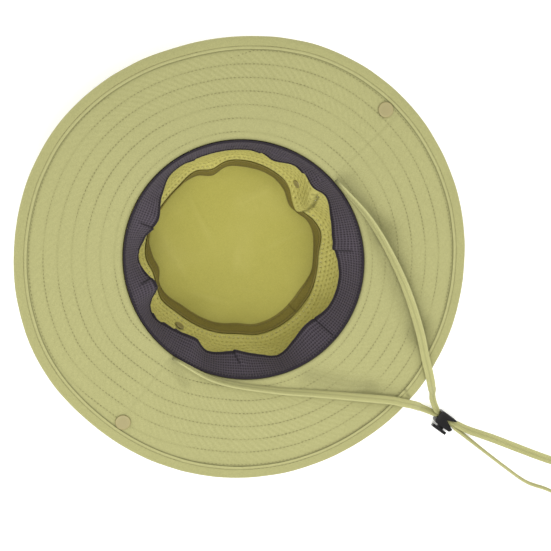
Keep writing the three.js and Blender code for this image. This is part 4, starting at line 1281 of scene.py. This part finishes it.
def makeSnap(name, node, size):
    # turned about the CAD snap's own axis, which is its thinnest way
    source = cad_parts[node]
    corners = np.array([source.matrix_world @ vertex.co for vertex in source.data.vertices])
    middle = corners.mean(0)
    axes = np.linalg.svd(corners - middle, full_matrices=False)[2]
    out = axes[2]
    towards = np.array([0, 0, 1]) if size is snaps["brim"] else np.array([-middle[0], -middle[1], 0])
    out = out * np.sign(out @ towards)
    wide, gap, tall = size["radius"], size["gap"], size["height"]
    under = -size["cloth"] / 2
    top = size["cloth"] / 2 + gap
    profile = [(0.0, top + tall * 0.95), (wide * 0.45, top + tall * 0.96), (wide * 0.74, top + tall),
               (wide * 0.88, top + tall * 0.98), (wide * 0.97, top + tall * 0.78), (wide, top + tall * 0.4),
               (wide * 0.97, top + tall * 0.08), (wide * 0.88, top), (2 * mm, top), (2 * mm, under - gap),
               (wide * 0.9, under - gap), (wide, under - gap - tall * 0.5), (wide * 0.9, under - gap - tall),
               (wide * 0.55, under - gap - tall), (wide * 0.42, under - gap - tall * 0.6),
               (0.0, under - gap - tall * 0.6)]
    turn = np.arange(snaps["sides"]) * 2 * math.pi / snaps["sides"]
    side = np.cross(out, (0.3, 0.9, 0.2))
    side /= np.linalg.norm(side)
    other = np.cross(out, side)
    circle = np.cos(turn)[:, None] * side + np.sin(turn)[:, None] * other
    points = [middle + out * height + max(radius, 1e-6) * circle for radius, height in profile]
    faces = []
    count = snaps["sides"]
    for row in range(len(profile) - 1):
        for column in range(count):
            after = (column + 1) % count
            faces.append((row * count + column, (row + 1) * count + column, (row + 1) * count + after,
                          row * count + after))
    # rims lighter with rubbed enamel and painted highlight; the cap's side and underside darker with painted
    # shadow
    rim = [0, 0, 0.1, 0.3, 0.3, 0.1, 0, 0, 0, 0, 0, 0.5, 0.6, 0.2, 0, 0]
    capUnderShade = [0, 0, 0, 0, 0.2, 0.6, 1, 1, 1, 1, 0.8, 0.4, 0, 0, 0.2, 0.2]
    made = makeObject(name, np.concatenate(points), faces, None,
                      {"wear_and_highlight": np.repeat(rim, count), "painted_shade_and_joints": np.repeat(capUnderShade, count)})
    shape = bmesh.new()
    shape.from_mesh(made.data)
    bmesh.ops.remove_doubles(shape, verts=shape.verts, dist=4e-6)
    bmesh.ops.recalc_face_normals(shape, faces=shape.faces)
    shape.to_mesh(made.data)
    shape.free()
    return made


snapEnamel = enamel()
for place in ("right", "left"):
    for where in ("brim", "crown"):
        snap = makeSnap(f"{where}_snap_{place}_cap", f"{where}_snap_{place}", snaps[where])
        snap.data.materials.append(snapEnamel)
        ride(snap, snap.name, "snap_metal", f"{where}_snap_{place}")
print("snaps made")

# Floor and light

studio = {
    "floorColor": (250, 250, 249),
    "floorGlow": 0.3,          # a backdrop lit from below
    "sky": 0.86,
    "lamps": [   # name, place, size, power
        ("key_light", (1.0, 0.1, 1.6), 1.2, 8.4),
        ("near_light", (0.35, 0.1, 1.05), 0.4, 2.4),
        ("top_light", (-0.6, 0.2, 1.8), 0.9, 7.8),
        ("low_light_front", (0.4, -1.1, 0.28), 0.5, 1.2),
        ("low_light_back", (-0.5, 1.1, 0.28), 0.5, 1.8),
    ],
}


def makeFloor():
    mesh = bpy.data.meshes.new("studio_floor")
    mesh.from_pydata([(-4, -4, 0), (4, -4, 0), (4, 4, 0), (-4, 4, 0)], [], [(0, 1, 2, 3)])
    made = bpy.data.objects.new("studio_floor", mesh)
    bpy.context.scene.collection.objects.link(made)
    made.location.z = -0.0002
    material, tree, shader = newMaterial("studio_floor")
    place = addNode(tree, "ShaderNodeTexCoord")
    dye = useGroup(tree, "dye", {"Vector": place.outputs["Object"], "Color": shade(*studio["floorColor"]),
                                 "Patch Size": 0.5, "Amount": 0.006, "Speck Amount": 0.0})
    tree.links.new(dye.outputs["Color"], shader.inputs["Base Color"])
    shader.inputs["Roughness"].default_value = 0.85
    shader.inputs["Emission Color"].default_value = (1, 1, 1, 1)
    shader.inputs["Emission Strength"].default_value = studio["floorGlow"]
    mesh.materials.append(material)


def makeLights():
    for name, spot, size, power in studio["lamps"]:
        data = bpy.data.lights.new(name, "AREA")
        data.shape = "DISK"
        data.size = size
        data.energy = power
        made = bpy.data.objects.new(name, data)
        bpy.context.scene.collection.objects.link(made)
        made.location = spot
        made.rotation_euler = (Vector((0, 0, 0.05)) - Vector(spot)).to_track_quat("-Z", "Y").to_euler()
    world = bpy.data.worlds.new("studio_world")
    world.use_nodes = True
    world.node_tree.nodes["Background"].inputs["Color"].default_value = (1, 1, 1, 1)
    world.node_tree.nodes["Background"].inputs["Strength"].default_value = studio["sky"]
    bpy.context.scene.world = world


makeFloor()
makeLights()
print("floor and lights in place")
